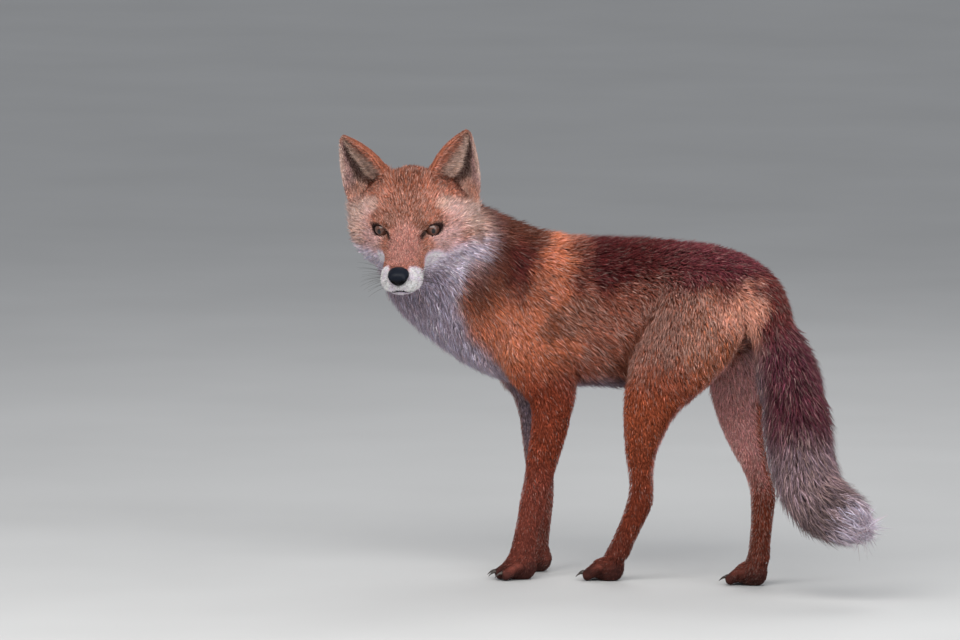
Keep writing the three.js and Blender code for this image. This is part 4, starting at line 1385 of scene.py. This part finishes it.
# Each toe: how far aside and ahead, mm, and how many degrees it is turned.
CLAW_TOES = [(-12.5, -5, 14), (-4.9, 0, 4), (4.9, 0, -4), (12.5, -5, -14)]
CLAW_AHEAD, CLAW_HEIGHT, CLAW_LENGTH, CLAW_RADIUS = 25.5, 8.6, 8.5, 1.75


def build_claws(mat):
    tubes = []
    t = np.linspace(0, 1, 7)
    for at, heading in PAWS.values():
        ahead = unit(np.array([*heading, 0.0]))
        side = np.cross(UP, ahead)
        for sideways, forward, turn in CLAW_TOES:
            way = np.array(Matrix.Rotation(math.radians(-turn), 3, "Z")) @ ahead
            toe = np.array([*at, 0.0]) + ahead * forward + side * sideways
            height = CLAW_HEIGHT + 0.8 * t - 5.5 * t * t
            path = toe + np.outer(CLAW_AHEAD + CLAW_LENGTH * t, way) + np.outer(height, UP)
            tubes.append(tube(path, CLAW_RADIUS * (1 - 0.88 * t**1.3)))
    points, faces = joined(tubes)
    piece("claws", to_row(points), [faces], mat)


# ---- Stage ----

AZIMUTH, ELEVATION, FAR = math.radians(30), math.radians(6), 16.0
LENS, SENSOR = 552, 36  # mm
SKY, SKY_STRENGTH = (0.92, 0.95, 1.0, 1), 0.5


def aimed(name, data, at, back):
    """Puts a light or a camera at a place, upright and looking away from `back`."""
    ob = bpy.data.objects.new(name, data)
    bpy.context.scene.collection.objects.link(ob)
    x = unit(np.cross(UP, back))
    y = np.cross(back, x)
    turn = Matrix([[x[i], y[i], back[i]] for i in range(3)])
    ob.matrix_world = Matrix.Translation(at) @ turn.to_4x4()
    return ob


# Each light: how far it stands from the aim towards the camera, up and to its right, m, then its
# width and height, its power and its tint.
LIGHTS = {
    "key": ((1.6, 1.1, -0.2), (3.0, 1.2), 60, (1, 0.985, 0.96)),
    "fill": ((1.9, 0.3, 1.6), (1.6, 1.6), 20, (0.9, 0.95, 1)),
    "rim": ((-1.5, 2.0, 0.6), (1.4, 1.4), 20, (1, 1, 1)),
}
AIM = np.array([-130.4, 0, 278.7])  # what the camera looks at, in the body's axes, mm
FLOOR_HALF, FLOOR_AT = 40, -0.0003  # m


def build_stage():
    around = ((-1, -1), (1, -1), (1, 1), (-1, 1))
    corners = np.array([[x * FLOOR_HALF, y * FLOOR_HALF, FLOOR_AT] for x, y in around])
    floor = new_object("floor", corners, [np.array([[0, 1, 2, 3]])], material("floor"), False)
    world = bpy.data.worlds.new("sky")
    bpy.context.scene.world = world
    world.use_nodes = True
    shade = world.node_tree.nodes["Background"]
    shade.inputs[0].default_value, shade.inputs[1].default_value = SKY, SKY_STRENGTH
    level = math.cos(ELEVATION)
    back = [math.sin(AZIMUTH) * level, -math.cos(AZIMUTH) * level, math.sin(ELEVATION)]
    back = np.array(back)
    right = unit(np.cross(UP, back))
    data = bpy.data.cameras.new("camera")
    data.lens, data.sensor_width = LENS, SENSOR
    data.clip_end = 200
    aim = to_row(AIM)
    bpy.context.scene.camera = aimed("camera", data, aim + back * FAR, back)
    target = aim - 0.02 * UP
    for name, (way, size, power, tint) in LIGHTS.items():
        data = bpy.data.lights.new(name, "AREA")
        data.shape = "RECTANGLE"
        data.size, data.size_y = size
        data.energy = power
        data.color = tint
        at = aim + back * way[0] + UP * way[1] + right * way[2]
        aimed(name, data, at, -unit(target - at))


# ---- All together ----


def main():
    build_stage()
    points, quads, body_field, head_field = build_skin()
    ground = Ground(points, quads, vertex_normals(points, quads))
    base, frost, black = markings(ground)
    lids = [build_lids(mirror) for mirror in (1, -1)]
    whole = joined([(points, quads), *(lid[:2] for lid in lids)])
    rgb = np.concatenate([base * 0.8, *(lid[2] for lid in lids)])
    piece("skin", whole[0], [whole[1]], material("skin"), rgb, FLESH)
    grow_coat(ground, base, frost, black, body_field, head_field)
    eye = material("eye")
    for side, mirror in (("left", 1), ("right", -1)):
        build_eye(f"eyeball_{side}", mirror, eye)
    build_nose(material("nose"))
    build_lips(material("lips"), head_field)
    build_whiskers(material("whisker"))
    build_claws(material("claw"))
    bpy.context.scene.view_settings.view_transform = "Standard"


main()
